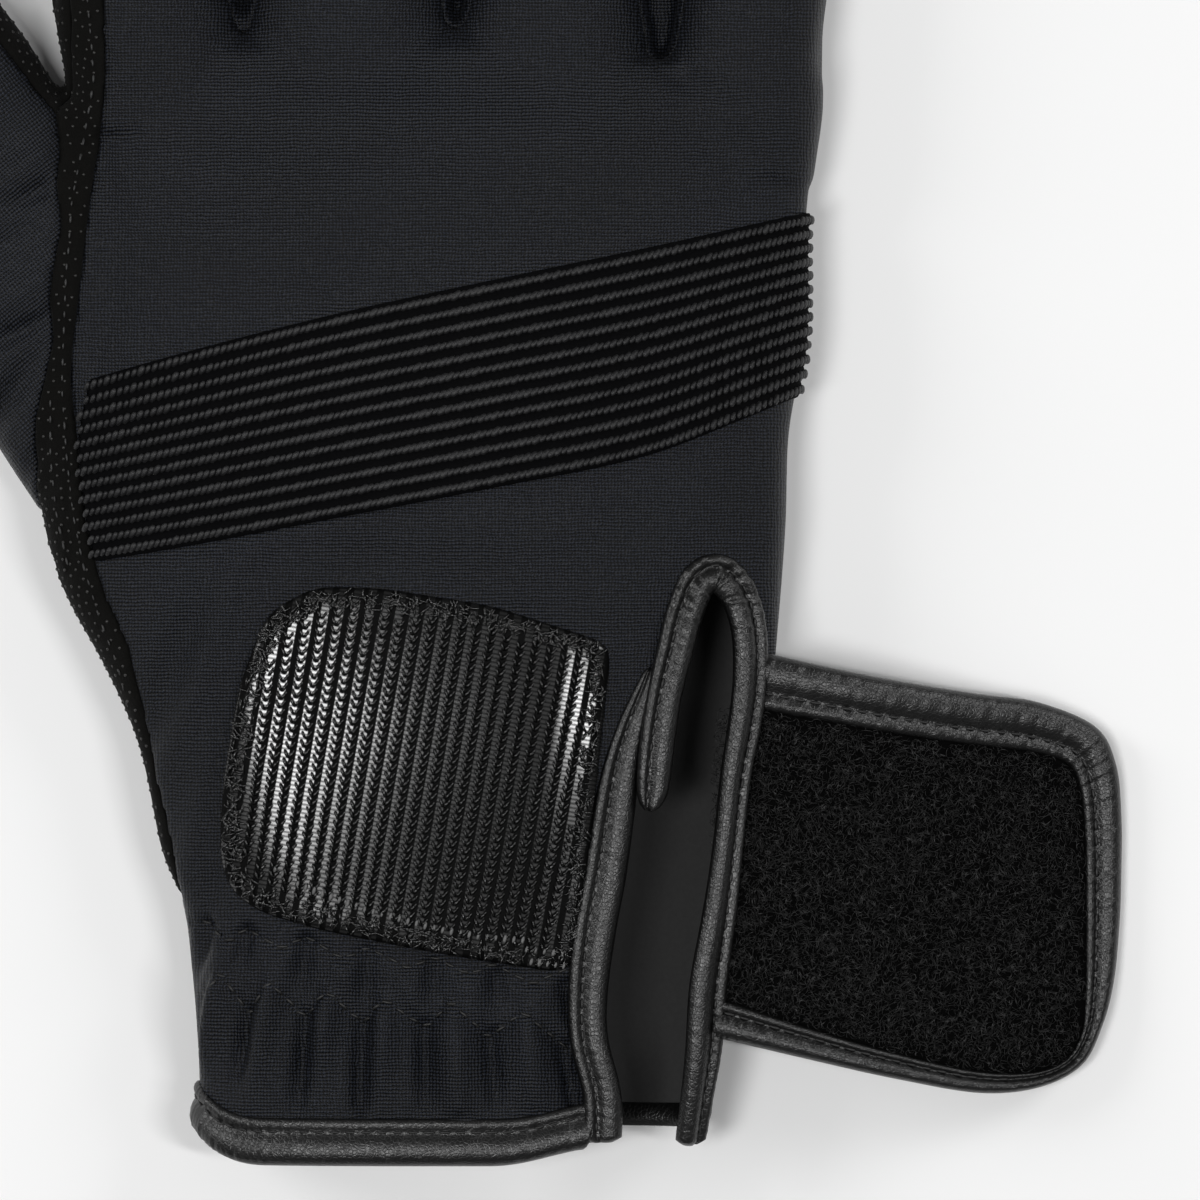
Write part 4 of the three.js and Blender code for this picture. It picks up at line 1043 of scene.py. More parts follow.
# Sweeps of leather along lines on the back
def back_uprights(points):
    """Points on the back's plain form and the directions out of it."""
    x, y = points[:, 0], points[:, 1]
    slope_x = (hand_top(x + SLOPE_STEP, y) - hand_top(x - SLOPE_STEP, y)) / (2 * SLOPE_STEP)
    slope_y = (hand_top(x, y + SLOPE_STEP) - hand_top(x, y - SLOPE_STEP)) / (2 * SLOPE_STEP)
    up = np.stack([-slope_x, -slope_y, np.ones_like(x)], axis=1)
    return np.stack([x, y, hand_top(x, y)], axis=1), unit(up)


def surface_frames(line):
    """Points, lengthwise, sideways and upright directions along a plan line on the back."""
    centre, up = back_uprights(line)
    along = unit(np.gradient(centre, axis=0))
    return centre, along, unit(np.cross(along, up)), up


LEATHER_STEP = 0.32

# Section of a slit binding, from the outer bead over the stitch groove to the roll at the slit
BINDING_SECTION = [
    (-0.5, -0.9), (-0.52, -0.2), (-0.51, 0.4), (-0.45, 0.8), (-0.36, 0.95), (-0.27, 0.8), (-0.21, 0.45),
    (-0.16, 0.4), (-0.1, 0.7), (-0.02, 1.0), (0.08, 1.2), (0.2, 1.22), (0.33, 1.05), (0.43, 0.7),
    (0.49, 0.2), (0.5, -0.4), (0.45, -0.9), (0.34, -1.25), (0.1, -1.3), (-0.2, -1.25), (-0.42, -1.15),
]
GROOVE = -0.185


def binding_piece(name, rows, wrinkle):
    """A slit binding swept along its middle line, rippled and narrowed at its ends."""
    line = even_steps(binding_line(rows, 200), LEATHER_STEP)
    centre, _, side, up = surface_frames(line)
    steps = np.arange(len(line)) * LEATHER_STEP
    rings = []
    for k, (share, height) in enumerate(BINDING_SECTION):
        ripple = 0.10 * np.sin(steps * 2.9 + share * 5) * np.sin(steps * 0.77 + 1.1)
        ripple = ripple + 0.07 * np.sin(steps * 5.3 + share * 9)
        ripple = ripple * wrinkle(line) * (1.0 if height > 0 else 0.0)
        wander = 0.10 * np.sin(steps * 0.23 + k * 0.05)
        taper = np.minimum(1, np.minimum(steps + 0.25, steps[::-1] + 0.25) / 0.9) ** 0.5
        offset = share * line[:, 2] * taper + wander
        lift = (height + ripple) * taper + line[:, 3]
        rings.append(centre + side * offset[:, None] + up * lift[:, None])
    return closed_piece(name + "_leather", np.stack(rings, axis=1))


def groove_points(rows, start, end):
    """Middles of the stitches in a binding's groove, with their directions."""
    line = even_steps(binding_line(rows, 200), STITCH_PITCH)[start:end]
    centre, along, side, up = surface_frames(line)
    offset = GROOVE * line[:, 2]
    return centre + side * offset[:, None] + up * (GROOVE_LIFT + line[:, 3:]), along, up


# Roll of the hem binding: share of HEM_WIDTH up the cuff, and height outside the cloth
HEM_SECTION = [
    (0.02, -1.5), (0.0, -0.7), (0.0, 0.1), (0.05, 0.75), (0.14, 1.15), (0.28, 1.3), (0.44, 1.15),
    (0.57, 0.85), (0.65, 0.5), (0.71, 0.42), (0.78, 0.6), (0.86, 0.72), (0.94, 0.6), (1.0, 0.25),
    (1.0, -0.2), (0.6, -0.3), (0.46, -1.4), (0.2, -1.6),
]
HEM_START = math.radians(63)
HEM_END = math.radians(367)
HEM_GROOVE = 0.71
HEM_THREAD_LIFT = 0.5
HEM_AXIS = 8


def hem_piece():
    """The rolled binding of the hem, round the cuff from the slit's one side to its other."""
    angles = np.linspace(HEM_START, HEM_END, 420)
    rings = []
    for share, height in HEM_SECTION:
        bump = 0.06 * np.sin(angles * 61 + share * 4) * np.sin(angles * 17 + 0.6)
        bump = bump + 0.04 * np.sin(angles * 113 + share * 7)
        rise = height + (bump if height > 0.2 else 0)
        ring = hand_point(share * HEM_WIDTH, angles, 0.0)
        outer = hand_point(share * HEM_WIDTH, angles, 1.0)
        direction = outer - ring
        place = ring + direction * np.broadcast_to(rise, angles.shape)[:, None]
        place[:, 2] = np.maximum(place[:, 2], 0.0)
        rings.append(place)
    return closed_piece("hem_binding_leather", np.stack(rings, axis=1))


def hem_stitches():
    angles = np.linspace(HEM_START + 0.03, HEM_END - 0.03, 2000)
    line = hand_point(HEM_GROOVE * HEM_WIDTH, angles, HEM_THREAD_LIFT)
    line[:, 2] = np.maximum(line[:, 2], THREAD / 2 + 0.35)
    spots = even_steps(line, STITCH_PITCH, 3)
    along = np.gradient(spots, axis=0)
    along = unit(along)
    up = spots - [hand_at(4.0)[0], 0, HEM_AXIS]
    up[:, 1] = 0
    up[:, 0] *= 0.25
    up = unit(up)
    return spots, along, up


# Elastic band
def band_point(angle, across, offset):
    """A point of the band, wrapped round the hand: angle round the section, across from its middle line."""
    y = np.full(np.broadcast(angle, across).shape, float(BAND_HEIGHT_ON_HAND))
    share = across / BAND_WIDTH + 0.5
    for _ in range(6):
        centre, half_width, _ = hand_at(y)
        x = centre + np.sign(np.cos(angle)) * np.abs(np.cos(angle)) ** SQUARENESS * half_width
        bow_up = smooth_read(BAND_BOW, "x", "top", x) * share
        bow = bow_up + smooth_read(BAND_BOW, "x", "bottom", x) * (1 - share)
        y = BAND_HEIGHT_ON_HAND + x * math.tan(BAND_TILT) + across / math.cos(BAND_TILT) + bow
    return hand_point(y, angle, offset)


def band_angles(count, shift=0.0):
    """Angles evenly spaced along the band, from the suede strip to the seam at the little finger's side."""
    fine = np.linspace(BAND_FROM, BAND_TO, 8000)
    line = band_point(fine, 0.0, 0.5)
    keep = line[:, 0] > seam_at(STRIP_SEAM, line[:, 1]) + 0.2
    fine, line = fine[keep], line[keep]
    lengths = running_length(line)
    spots = (np.arange(count) + shift) / (count - 1) * lengths[-1]
    return np.interp(spots, lengths, fine), lengths[-1]


# The web's height over the cloth between its ribs, how far a rib rises from it, and its underside
WEB_LIFT = 0.4
RIB_RISE = 0.3
WEB_UNDERSIDE = 0.1


def band_piece():
    """The ribbed ground of the elastic band."""
    angles, _ = band_angles(160)
    across = np.linspace(-0.5, 0.5, BAND_RIBS * 4 + 1)
    rib = np.abs(np.sin(np.pi * BAND_RIBS * (across + 0.5)))
    top = WEB_LIFT + RIB_RISE * rib
    upper = np.stack([band_point(angles, a * BAND_WIDTH, t) for a, t in zip(across, top)])
    lower = np.stack([band_point(angles, a * BAND_WIDTH, WEB_UNDERSIDE) for a in across[::-1]])
    rings = np.concatenate([upper, lower]).transpose(1, 0, 2)
    return closed_piece("elastic_band_web", rings)


def band_cord_points():
    """Middles of the twisted cord's turns along each rib of the band."""
    _, length = band_angles(10)
    count = int(length / CORD_PITCH)
    spots = []
    directions = []
    uprights = []
    for rib in range(BAND_RIBS):
        across = ((rib + 0.5) / BAND_RIBS - 0.5) * BAND_WIDTH
        angles, _ = band_angles(count, (rib % 2) * 0.5)
        angles = angles[:count - rib % 2]
        line = band_point(angles, across, CORD_LIFT)
        outer = band_point(angles, across, CORD_LIFT + 1)
        along = np.gradient(line, axis=0)
        spots.append(line)
        directions.append(unit(along))
        uprights.append(unit(outer - line))
    spots, directions, uprights = (np.concatenate(part) for part in (spots, directions, uprights))
    side = np.cross(uprights, directions)
    slanted = directions * math.cos(CORD_SLANT) + side * math.sin(CORD_SLANT)
    return spots, slanted, uprights


# Hook patch
def patch_outline(shrink):
    """The patch's closed outline, drawn in towards its middle by a distance."""
    rows = np.array(PATCH_OUTLINE + PATCH_OUTLINE[:1])
    corners = rows * (PATCH_WIDTH, PATCH_LENGTH) + (PATCH_LEFT, PATCH_BOTTOM)
    middle = corners[:-1].mean(axis=0)
    reach = corners - middle
    return middle + reach * (1 - shrink / np.linalg.norm(reach, axis=1)[:, None])


def rounded_loop(corners, step):
    """A closed outline with its corners eased, its points a given step apart."""
    line = even_steps(corners, step)[:-1]
    for _ in range(6):
        line = 0.5 * line + 0.25 * (np.roll(line, 1, axis=0) + np.roll(line, -1, axis=0))
    return line


def patch_surface(x, y):
    """Height of the cloth under the patch: the plain form, bulged a little, bent down towards the slit."""
    bulge = 1 - ((y - 47) / 26) ** 2
    column = x - (y - PATCH_MIDDLE[1]) * math.tan(HOOK_TILT)
    return hand_top(x, y) + bulge - PATCH_BEND * smoothstep(11.5, 20.5, column)


def patch_piece():
    """A thin plate on the wrist whose rim is rounded down to the cloth."""
    loop = rounded_loop(patch_outline(0), 1.0)
    middle = loop.mean(axis=0)
    shares = np.concatenate([np.linspace(0.03, 0.9, 34), [0.94, 0.97, 0.985, 1.0]])
    lifts = np.concatenate([np.full(35, TAPE_LIFT), [0.8, 0.65, 0.35]])
    rings = []
    for share, lift in zip(shares, lifts):
        plan = middle + (loop - middle) * share
        rings.append(np.column_stack([plan, patch_surface(plan[:, 0], plan[:, 1]) + lift]))
    rim = rings[-1] - [0, 0, 1.6]
    under = rings[0] - [0, 0, 1.0]
    rings = np.array([*rings, rim, under])
    return closed_piece("hook_patch_tape", rings)


def hook_points():
    """Roots of the hooks: pairs that lean apart, in slanted columns inside the patch's crushed border."""
    inner = rounded_loop(patch_outline(HOOK_BORDER), 1.0)
    column, row = (part.ravel() for part in np.meshgrid(HOOK_COLUMNS, HOOK_ROWS))
    tilt = HOOK_TILT + column * HOOK_FAN
    across = column * HOOK_COLUMN
    step = row * HOOK_STEP + (column % 2) * HOOK_STEP * 0.5
    spots = np.stack([
        PATCH_MIDDLE[0] + across * math.cos(HOOK_TILT) + step * np.sin(tilt),
        PATCH_MIDDLE[1] - across * math.sin(HOOK_TILT) + step * np.cos(tilt),
    ], axis=1)
    sides = []
    alongs = []
    for lean in (-1, 1):
        turn = tilt + lean * HOOK_LEAN
        shift = lean * HOOK_COLUMN * HOOK_APART
        sides.append(spots + np.stack([np.cos(tilt), -np.sin(tilt)], axis=1) * shift)
        alongs.append(np.stack([np.sin(turn), np.cos(turn), 0 * turn], axis=1))
    spots = np.concatenate(sides)
    alongs = np.concatenate(alongs)
    chosen = distance_outside(inner, spots) < 0
    return on_patch(spots[chosen], alongs[chosen])


def crushed_hook_points(rng):
    """Flattened hooks that lie every way in the patch's border."""
    outer = rounded_loop(patch_outline(0.5), 1.0)
    inner = rounded_loop(patch_outline(HOOK_BORDER - 0.3), 1.0)
    low, high = outer.min(axis=0), outer.max(axis=0)
    spots = low + rng.random((CRUSHED_HOOKS * 6, 2)) * (high - low)
    spots = spots[distance_outside(outer, spots) < 0]
    spots = spots[distance_outside(inner, spots) > 0][:CRUSHED_HOOKS]
    turn = rng.random(len(spots)) * 2 * np.pi
    return on_patch(spots, np.stack([np.cos(turn), np.sin(turn), 0 * turn], axis=1))


def on_patch(spots, alongs):
    """Lifts places of the plan onto the patch."""
    centre, up = back_uprights(spots)
    centre[:, 2] = patch_surface(spots[:, 0], spots[:, 1]) + TAPE_LIFT
    return centre, alongs, up


def patch_stitch_points():
    """The bars of the patch's lowest row, and of its corner at the slit: pale thread with painted
    highlight.
    """
    spots = np.vstack([even_steps(np.array(row), BAR_PITCH) for row in PATCH_STITCH_ROWS])
    centre, alongs, up = on_patch(spots, np.tile([0.3, 1.0, 0.0], (len(spots), 1)))
    centre[:, 2] += 0.25
    return centre, alongs, up


# Tab
def tab_plan(point):
    return np.array([TAB_ROOT_X + point[0] * TAB_REACH, TAB_BOTTOM + point[1] * TAB_WIDTH])


TAB_ROOT_HEIGHT = float(hand_top(np.array(TAB_ROOT_X), np.array(TAB_BOTTOM + 0.7 * TAB_WIDTH))) + GAP


def tab_height(x, y):
    """Height of the tab's middle over a place of the plan."""
    reach = (x - TAB_ROOT_X) / TAB_REACH
    drape = smooth_read(TAB_DRAPE, "reach", "height", reach) * TAB_ROOT_HEIGHT + TAB_BINDING / 2
    wave = 0.35 * np.sin(y * 0.11 + 0.6) * smoothstep(0.15, 0.6, reach)
    return np.maximum(drape + wave, TAB_BINDING / 2)


def rim_lines(steps):
    """Outer and inner edges of the tab's rim."""
    outer = curve_through([tab_plan(row["outer"]) for row in TAB_RIM], steps)
    inner = curve_through([tab_plan(row["inner"]) for row in TAB_RIM], steps)
    return outer, inner


# Section of the tab's rim: share from the outer edge to the inner one, and height over the tab's middle
RIM_SECTION = [
    (0.0, 0.0), (0.02, 0.6), (0.08, 1.15), (0.18, 1.5), (0.32, 1.6), (0.46, 1.5), (0.58, 1.2), (0.65, 0.85),
    (0.7, 0.78), (0.75, 0.95), (0.83, 1.2), (0.92, 1.15), (1.0, 0.75), (1.03, 0.1), (1.0, -0.6),
    (0.8, -1.1), (0.45, -1.4), (0.18, -1.4), (0.05, -0.9),
]
RIM_GROOVE = 0.7
RIPPLE_ABOVE = 0.4


def tab_rim_piece():
    """The rolled leather edge of the tab."""
    outer, inner = rim_lines(420)
    steps = np.arange(len(outer))
    rings = []
    for share, height in RIM_SECTION:
        plan = outer + (inner - outer) * share
        ripple = 0.07 * np.sin(steps * 0.9 + share * 4) * np.sin(steps * 0.21 + 1)
        ripple = (ripple + 0.035 * np.sin(steps * 1.7 + share * 8)) * (height > RIPPLE_ABOVE)
        z = tab_height(plan[:, 0], plan[:, 1]) + height + ripple
        rings.append(np.column_stack([plan, np.maximum(z, 0.0)]))
    return closed_piece("tab_binding_leather", np.stack(rings, axis=1))


def tab_stitch_points():
    outer, inner = rim_lines(420)
    groove = even_steps(outer + (inner - outer) * RIM_GROOVE, STITCH_PITCH)
    spots = np.column_stack([groove, tab_height(groove[:, 0], groove[:, 1]) + TAB_STITCH_LIFT])
    along = np.gradient(spots, axis=0)
    along = unit(along)
    return spots, along, np.tile([0.0, 0.0, 1.0], (len(spots), 1))


def tab_grid(name, low, high, pattern):
    """A sheet that fills the rim, between two heights, its upper side raised by a pattern."""
    _, inner = rim_lines(160)
    half = int(len(inner) * 0.47)
    upper = even_steps(inner[:half], 1.0)
    lower = even_steps(inner[half:][::-1], 1.0)
    spots = np.linspace(0, 1, 70)
    upper, lower = (
        np.stack([np.interp(spots, np.linspace(0, 1, len(side)), side[:, k]) for k in range(2)], axis=1)
        for side in (upper, lower)
    )
    shares = np.linspace(0, 1, 61)
    top = np.stack([lower + (upper - lower) * s for s in shares], axis=1)
    top_z = tab_height(top[..., 0], top[..., 1]) + high + pattern(top[..., 0], top[..., 1])
    bottom_z = tab_height(top[..., 0], top[..., 1]) + low
    upper_side = np.concatenate([top, top_z[..., None]], axis=2)
    lower_side = np.concatenate([top, bottom_z[..., None]], axis=2)[:, ::-1]
    return closed_piece(name, np.concatenate([upper_side, lower_side], axis=1))


def pad_dimples(x, y):
    return 0.12 * np.sin(x * 2.1) * np.sin(y * 1.9)


def pile_lines(rng, low_rise, high_rise):
    """Curly fibres lying every way on the pad, as chains of points."""
    _, inner = rim_lines(160)
    loop = np.vstack([inner, tab_plan((-0.1, 0.3)), tab_plan((-0.07, 0.87))])
    low = loop.min(axis=0)
    high = loop.max(axis=0)
    roots = low + rng.random((PILE_FIBRES * 2, 2)) * (high - low)
    roots = roots[distance_outside(loop, roots) < -0.1][:PILE_FIBRES]
    count = len(roots)
    turn = rng.random(count) * 2 * np.pi
    curl = rng.normal(0, 1.7, count)
    length = 1.0 + rng.random(count) * 2.0
    rise = low_rise + rng.random(count) * (high_rise - low_rise)
    t = np.linspace(0, 1, PILE_STEPS)
    angle = turn[:, None] + curl[:, None] * t[None] * 1.6
    step = length[:, None] / PILE_STEPS
    x = roots[:, :1] + np.cumsum(np.cos(angle) * step, axis=1)
    y = roots[:, 1:] + np.cumsum(np.sin(angle) * step, axis=1)
    flat = np.stack([x, y], axis=2).reshape(-1, 2)
    inside = (distance_outside(loop, flat) < 0.2).reshape(count, PILE_STEPS).all(axis=1)
    x, y, rise = x[inside], y[inside], rise[inside]
    z = tab_height(x, y) + 0.45 + rise[:, None] * np.sin(np.pi * t)[None]
    return np.stack([x, y, z], axis=2)


def pile_piece(name, chains, tree, material):
    """Fibres grown along chains of points."""
    count, each = chains.shape[:2]
    starts = (np.arange(count)[:, None] * each + np.arange(each - 1)[None]).ravel()
    mesh = bpy.data.meshes.new(name)
    edges = np.stack([starts, starts + 1], axis=1)
    mesh.from_pydata(to_frame(chains.reshape(-1, 3)).tolist(), edges.tolist(), [])
    return grown(name, mesh, tree, {"Radius": FIBRE_RADIUS * MM, "Sides": 3, "Material": material})


# Geometry Nodes
def socket_in(tree, name, kind, value=None):
    made = tree.interface.new_socket(name=name, in_out="INPUT", socket_type=kind)
    if value is not None:
        made.default_value = value
    return made


def new_node(tree, kind, settings=None, values=None):
    """A node of a tree: its settings first, then the values or links of its sockets."""
    made = tree.nodes.new(kind)
    for key, value in (settings or {}).items():
        setattr(made, key, value)
    for key, value in (values or {}).items():
        if isinstance(value, bpy.types.NodeSocket):
            tree.links.new(value, made.inputs[key])
        else:
            made.inputs[key].default_value = value
    return made


def stretched(tree, body, sizes):
    """A small shape drawn out to its length, width and height."""
    size = new_node(tree, "ShaderNodeCombineXYZ", values={
        "X": sizes["Length"], "Y": sizes["Width"], "Z": sizes["Height"],
    })
    return new_node(tree, "GeometryNodeTransform", values={
        "Geometry": body.outputs["Mesh"], "Scale": size.outputs["Vector"],
    }).outputs["Geometry"]


def finished(tree, geometry, material):
    """Closes a tree: plain mesh, smooth, with its material."""
    real = new_node(tree, "GeometryNodeRealizeInstances", values={"Geometry": geometry})
    smooth = new_node(tree, "GeometryNodeSetShadeSmooth", values={"Geometry": real.outputs["Geometry"]})
    painted = new_node(tree, "GeometryNodeSetMaterial", values={
        "Geometry": smooth.outputs["Geometry"], "Material": material,
    })
    new_node(tree, "NodeGroupOutput", values={"Geometry": painted.outputs["Geometry"]})
    return tree


def capsule_shape(tree, sizes):
    """A short thread with rounded ends."""
    ball = new_node(tree, "GeometryNodeMeshUVSphere", values={"Segments": 8, "Rings": 6, "Radius": 0.5})
    return stretched(tree, ball, sizes)


def dot_shape(tree, sizes):
    """A low round drop."""
    ball = new_node(tree, "GeometryNodeMeshUVSphere", values={"Segments": 6, "Rings": 3, "Radius": 0.5})
    return stretched(tree, ball, sizes)


def hook_shape(tree, sizes):
    """A short wire that rises and bends over, as moulded or woven hooks do."""
    bend = new_node(tree, "GeometryNodeCurveQuadraticBezier", values={
        "Resolution": 5, "Start": (-0.5, 0, 0), "Middle": (-0.1, 0, 1.6), "End": (0.5, 0, 0.15),
    })
    profile = new_node(tree, "GeometryNodeCurvePrimitiveCircle", values={"Resolution": 4, "Radius": 0.2})
    wire = new_node(tree, "GeometryNodeCurveToMesh", values={
        "Curve": bend.outputs["Curve"], "Profile Curve": profile.outputs["Curve"], "Fill Caps": True,
    })
    return stretched(tree, wire, sizes)


def repeat_tree(name, shape):
    """A tree that puts one small shape on every guide point, along and upright as its attributes say."""
    tree = bpy.data.node_groups.new(name, "GeometryNodeTree")
    socket_in(tree, "Geometry", "NodeSocketGeometry")
    for size in ("Length", "Width", "Height"):
        socket_in(tree, size, "NodeSocketFloat", 1.0)
    socket_in(tree, "Unevenness", "NodeSocketFloat", 0.1)
    socket_in(tree, "Seed", "NodeSocketInt", 1)
    socket_in(tree, "Material", "NodeSocketMaterial")
    tree.interface.new_socket(name="Geometry", in_out="OUTPUT", socket_type="NodeSocketGeometry")
    given = new_node(tree, "NodeGroupInput").outputs
    sizes = {size: given[size] for size in ("Length", "Width", "Height")}
    along, upright = (
        new_node(tree, "GeometryNodeInputNamedAttribute", {"data_type": "FLOAT_VECTOR"}, {"Name": label})
        for label in ("along", "upright")
    )
    turn = new_node(tree, "FunctionNodeAxesToRotation", {"primary_axis": "Z", "secondary_axis": "X"}, {
        "Primary Axis": upright.outputs["Attribute"], "Secondary Axis": along.outputs["Attribute"],
    })
    least = new_node(tree, "ShaderNodeMath", {"operation": "SUBTRACT"}, {0: 1.0, 1: given["Unevenness"]})
    most = new_node(tree, "ShaderNodeMath", {"operation": "ADD"}, {0: 1.0, 1: given["Unevenness"]})
    scale = new_node(tree, "FunctionNodeRandomValue", {"data_type": "FLOAT"}, {
        2: least.outputs[0], 3: most.outputs[0], "Seed": given["Seed"],
    })
    placed = new_node(tree, "GeometryNodeInstanceOnPoints", values={
        "Points": given["Geometry"],
        "Instance": shape(tree, sizes),
        "Rotation": turn.outputs["Rotation"],
        "Scale": scale.outputs[1],
    })
    return finished(tree, placed.outputs["Instances"], given["Material"])


def thread_tree():
    """A tree that gives chains of points a round thickness."""
    tree = bpy.data.node_groups.new("fibres", "GeometryNodeTree")
    socket_in(tree, "Geometry", "NodeSocketGeometry")
    socket_in(tree, "Radius", "NodeSocketFloat", 0.0001)
    socket_in(tree, "Sides", "NodeSocketInt", 3)
    socket_in(tree, "Material", "NodeSocketMaterial")
    tree.interface.new_socket(name="Geometry", in_out="OUTPUT", socket_type="NodeSocketGeometry")
    given = new_node(tree, "NodeGroupInput").outputs
    chains = new_node(tree, "GeometryNodeMeshToCurve", values={"Mesh": given["Geometry"]})
    profile = new_node(tree, "GeometryNodeCurvePrimitiveCircle", values={
        "Resolution": given["Sides"], "Radius": given["Radius"],
    })
    tubes = new_node(tree, "GeometryNodeCurveToMesh", values={
        "Curve": chains.outputs["Curve"], "Profile Curve": profile.outputs["Curve"], "Fill Caps": True,
    })
    return finished(tree, tubes.outputs["Mesh"], given["Material"])


def set_inputs(modifier, values):
    """Sets a tree's inputs by their sockets' identifiers."""
    for item in modifier.node_group.interface.items_tree:
        if item.item_type == "SOCKET" and item.in_out == "INPUT" and item.name in values:
            modifier[item.identifier] = values[item.name]


def grown(name, guide_mesh, tree, values):
    """A piece grown by a tree on guide points, as a plain mesh."""
    piece = bpy.data.objects.new(name, guide_mesh)
    bpy.context.scene.collection.objects.link(piece)
    modifier = piece.modifiers.new("grow", "NODES")
    modifier.node_group = tree
    set_inputs(modifier, values)
    return baked(piece)


def guide_points(name, spots, alongs, uprights):
    """A mesh of loose points that carry the directions of what grows on them."""
    mesh = bpy.data.meshes.new(name)
    mesh.from_pydata(to_frame(spots).tolist(), [], [])
    for label, values in (("along", alongs), ("upright", uprights)):
        attribute = mesh.attributes.new(label, "FLOAT_VECTOR", "POINT")
        attribute.data.foreach_set("vector", np.asarray(values, dtype=np.float32).ravel())
    return mesh


def repeated(name, points, shape_tree, size, material, unevenness=0.08, seed=1):
    """A piece of small shapes of one size, repeated on guide points."""
    return grown(name, guide_points(name, *points), shape_tree, {
        "Length": size[0] * MM, "Width": size[1] * MM, "Height": size[2] * MM,
        "Unevenness": unevenness, "Seed": seed, "Material": material,
    })


# Materials
class Value:
    """A number in a material. Arithmetic on it adds Math nodes."""

    def __init__(self, board, socket):
        self.board = board
        self.socket = socket

    def __add__(self, other):
        return self.board.maths("ADD", self, other)

    def __sub__(self, other):
        return self.board.maths("SUBTRACT", self, other)

    def __rsub__(self, other):
        return self.board.maths("SUBTRACT", other, self)

    def __mul__(self, other):
        return self.board.maths("MULTIPLY", self, other)

    __radd__ = __add__
    __rmul__ = __mul__


class Board:
    """A material's nodes, and the few ways this glove's finishes use them."""

    def __init__(self, name):
        self.material = bpy.data.materials.new(name)
        self.material.use_nodes = True
        self.tree = self.material.node_tree
        self.shader = self.tree.nodes["Principled BSDF"]

    def node(self, kind, settings=None, values=None):
        plain = {}
        for key, value in (values or {}).items():
            plain[key] = value.socket if isinstance(value, Value) else value
        return new_node(self.tree, kind, settings, plain)

    def maths(self, operation, *values):
        made = self.node("ShaderNodeMath", {"operation": operation}, dict(enumerate(values)))
        return Value(self, made.outputs[0])

    def place(self):
        """Object coordinates in millimetres."""
        spot = self.node("ShaderNodeTexCoord").outputs["Object"]
        scaled = self.node("ShaderNodeVectorMath", {"operation": "SCALE"}, {0: spot, "Scale": 1 / MM})
        return scaled.outputs[0]

    def plan(self, vector):
        """The x and y of a place, as numbers."""
        parts = self.node("ShaderNodeSeparateXYZ", values={0: vector})
        return Value(self, parts.outputs[0]), Value(self, parts.outputs[1])

    def noise(self, vector, scale, detail=3.0, roughness=0.5):
        made = self.node("ShaderNodeTexNoise", values={
            "Vector": vector, "Scale": scale, "Detail": detail, "Roughness": roughness,
        })
        return Value(self, made.outputs["Fac"])

    def cells(self, vector, scale, feature="F1"):
        made = self.node("ShaderNodeTexVoronoi", {"feature": feature}, {"Vector": vector, "Scale": scale})
        return Value(self, made.outputs["Distance"])

    def wave(self, number, pitch):
        """A smooth wave from 0 to 1 along a number of millimetres."""
        return self.maths("SINE", number * (2 * math.pi / pitch)) * 0.5 + 0.5

    def clamped(self, number):
        return self.maths("MINIMUM", self.maths("MAXIMUM", number, 0.0), 1.0)

    def mix(self, share, first, second):
        made = self.node("ShaderNodeMix", {"data_type": "RGBA"}, {"Factor": share, 6: first, 7: second})
        return made.outputs[2]

    def bump(self, height, distance, strength=1.0):
        made = self.node("ShaderNodeBump", values={
            "Height": height, "Distance": distance * MM, "Strength": strength,
        })
        self.tree.links.new(made.outputs["Normal"], self.shader.inputs["Normal"])

    def set(self, **values):
        for key, value in values.items():
            socket = self.shader.inputs[key.replace("_", " ")]
            if isinstance(value, Value):
                self.tree.links.new(value.socket, socket)
            elif isinstance(value, bpy.types.NodeSocket):
                self.tree.links.new(value, socket)
            else:
                socket.default_value = value
        return self.material


def grey(level, blue=1.0, red=1.0):
    return (level * red, level, level * blue, 1.0)


def flecked(name, noise, dark, pale, relief=None, **finish):
    """A finish whose colour, and relief where it has one, follow the same noise."""
    board = Board(name)
    fleck = board.noise(board.place(), *noise)
    if relief:
        board.bump(fleck, *relief)
    return board.set(Base_Color=board.mix(fleck, dark, pale), **finish)


def thread_material(name, low, high):
    return flecked(
        name, (5.0, 2.0), grey(low), grey(high), (0.05, 0.6), Roughness=0.5, Specular_IOR_Level=0.4,
    )


def knit_material(name, turn):
    """Fine warp knit: courses along the turned x, wales along the turned y."""
    board = Board(name)
    vector = board.place()
    x, y = board.plan(vector)
    turn = math.radians(turn)
    lengthwise = y * math.cos(turn) - x * math.sin(turn)
    crosswise = x * math.cos(turn) + y * math.sin(turn)
    slack = board.noise(vector, 0.7, 1.0) * 0.55
    courses = board.wave(lengthwise + board.noise(vector, 0.08) * 0.8 + slack * 0.5, COURSE)
    wales = board.wave(crosswise + slack, WALE)
    loops = courses * 0.55 + wales * 0.45
    fuzz = board.noise(vector, 3.2, 2.0)
    patches = board.noise(vector, 0.05, 2.0)
    shade = board.clamped((loops - 0.52) * 3.0 + (fuzz - 0.5) * 2.2 + (patches - 0.5) * 0.5 + 0.2)
    colour = board.mix(shade, grey(0.0002, 1.45, 0.82), grey(0.0158, 1.45, 0.84))
    board.bump(loops * 0.8 + fuzz * 0.6, 0.15, 1.0)
    return board.set(
        Base_Color=colour, Roughness=0.5, Sheen_Weight=0.012, Sheen_Roughness=0.4, Specular_IOR_Level=0.18,
    )


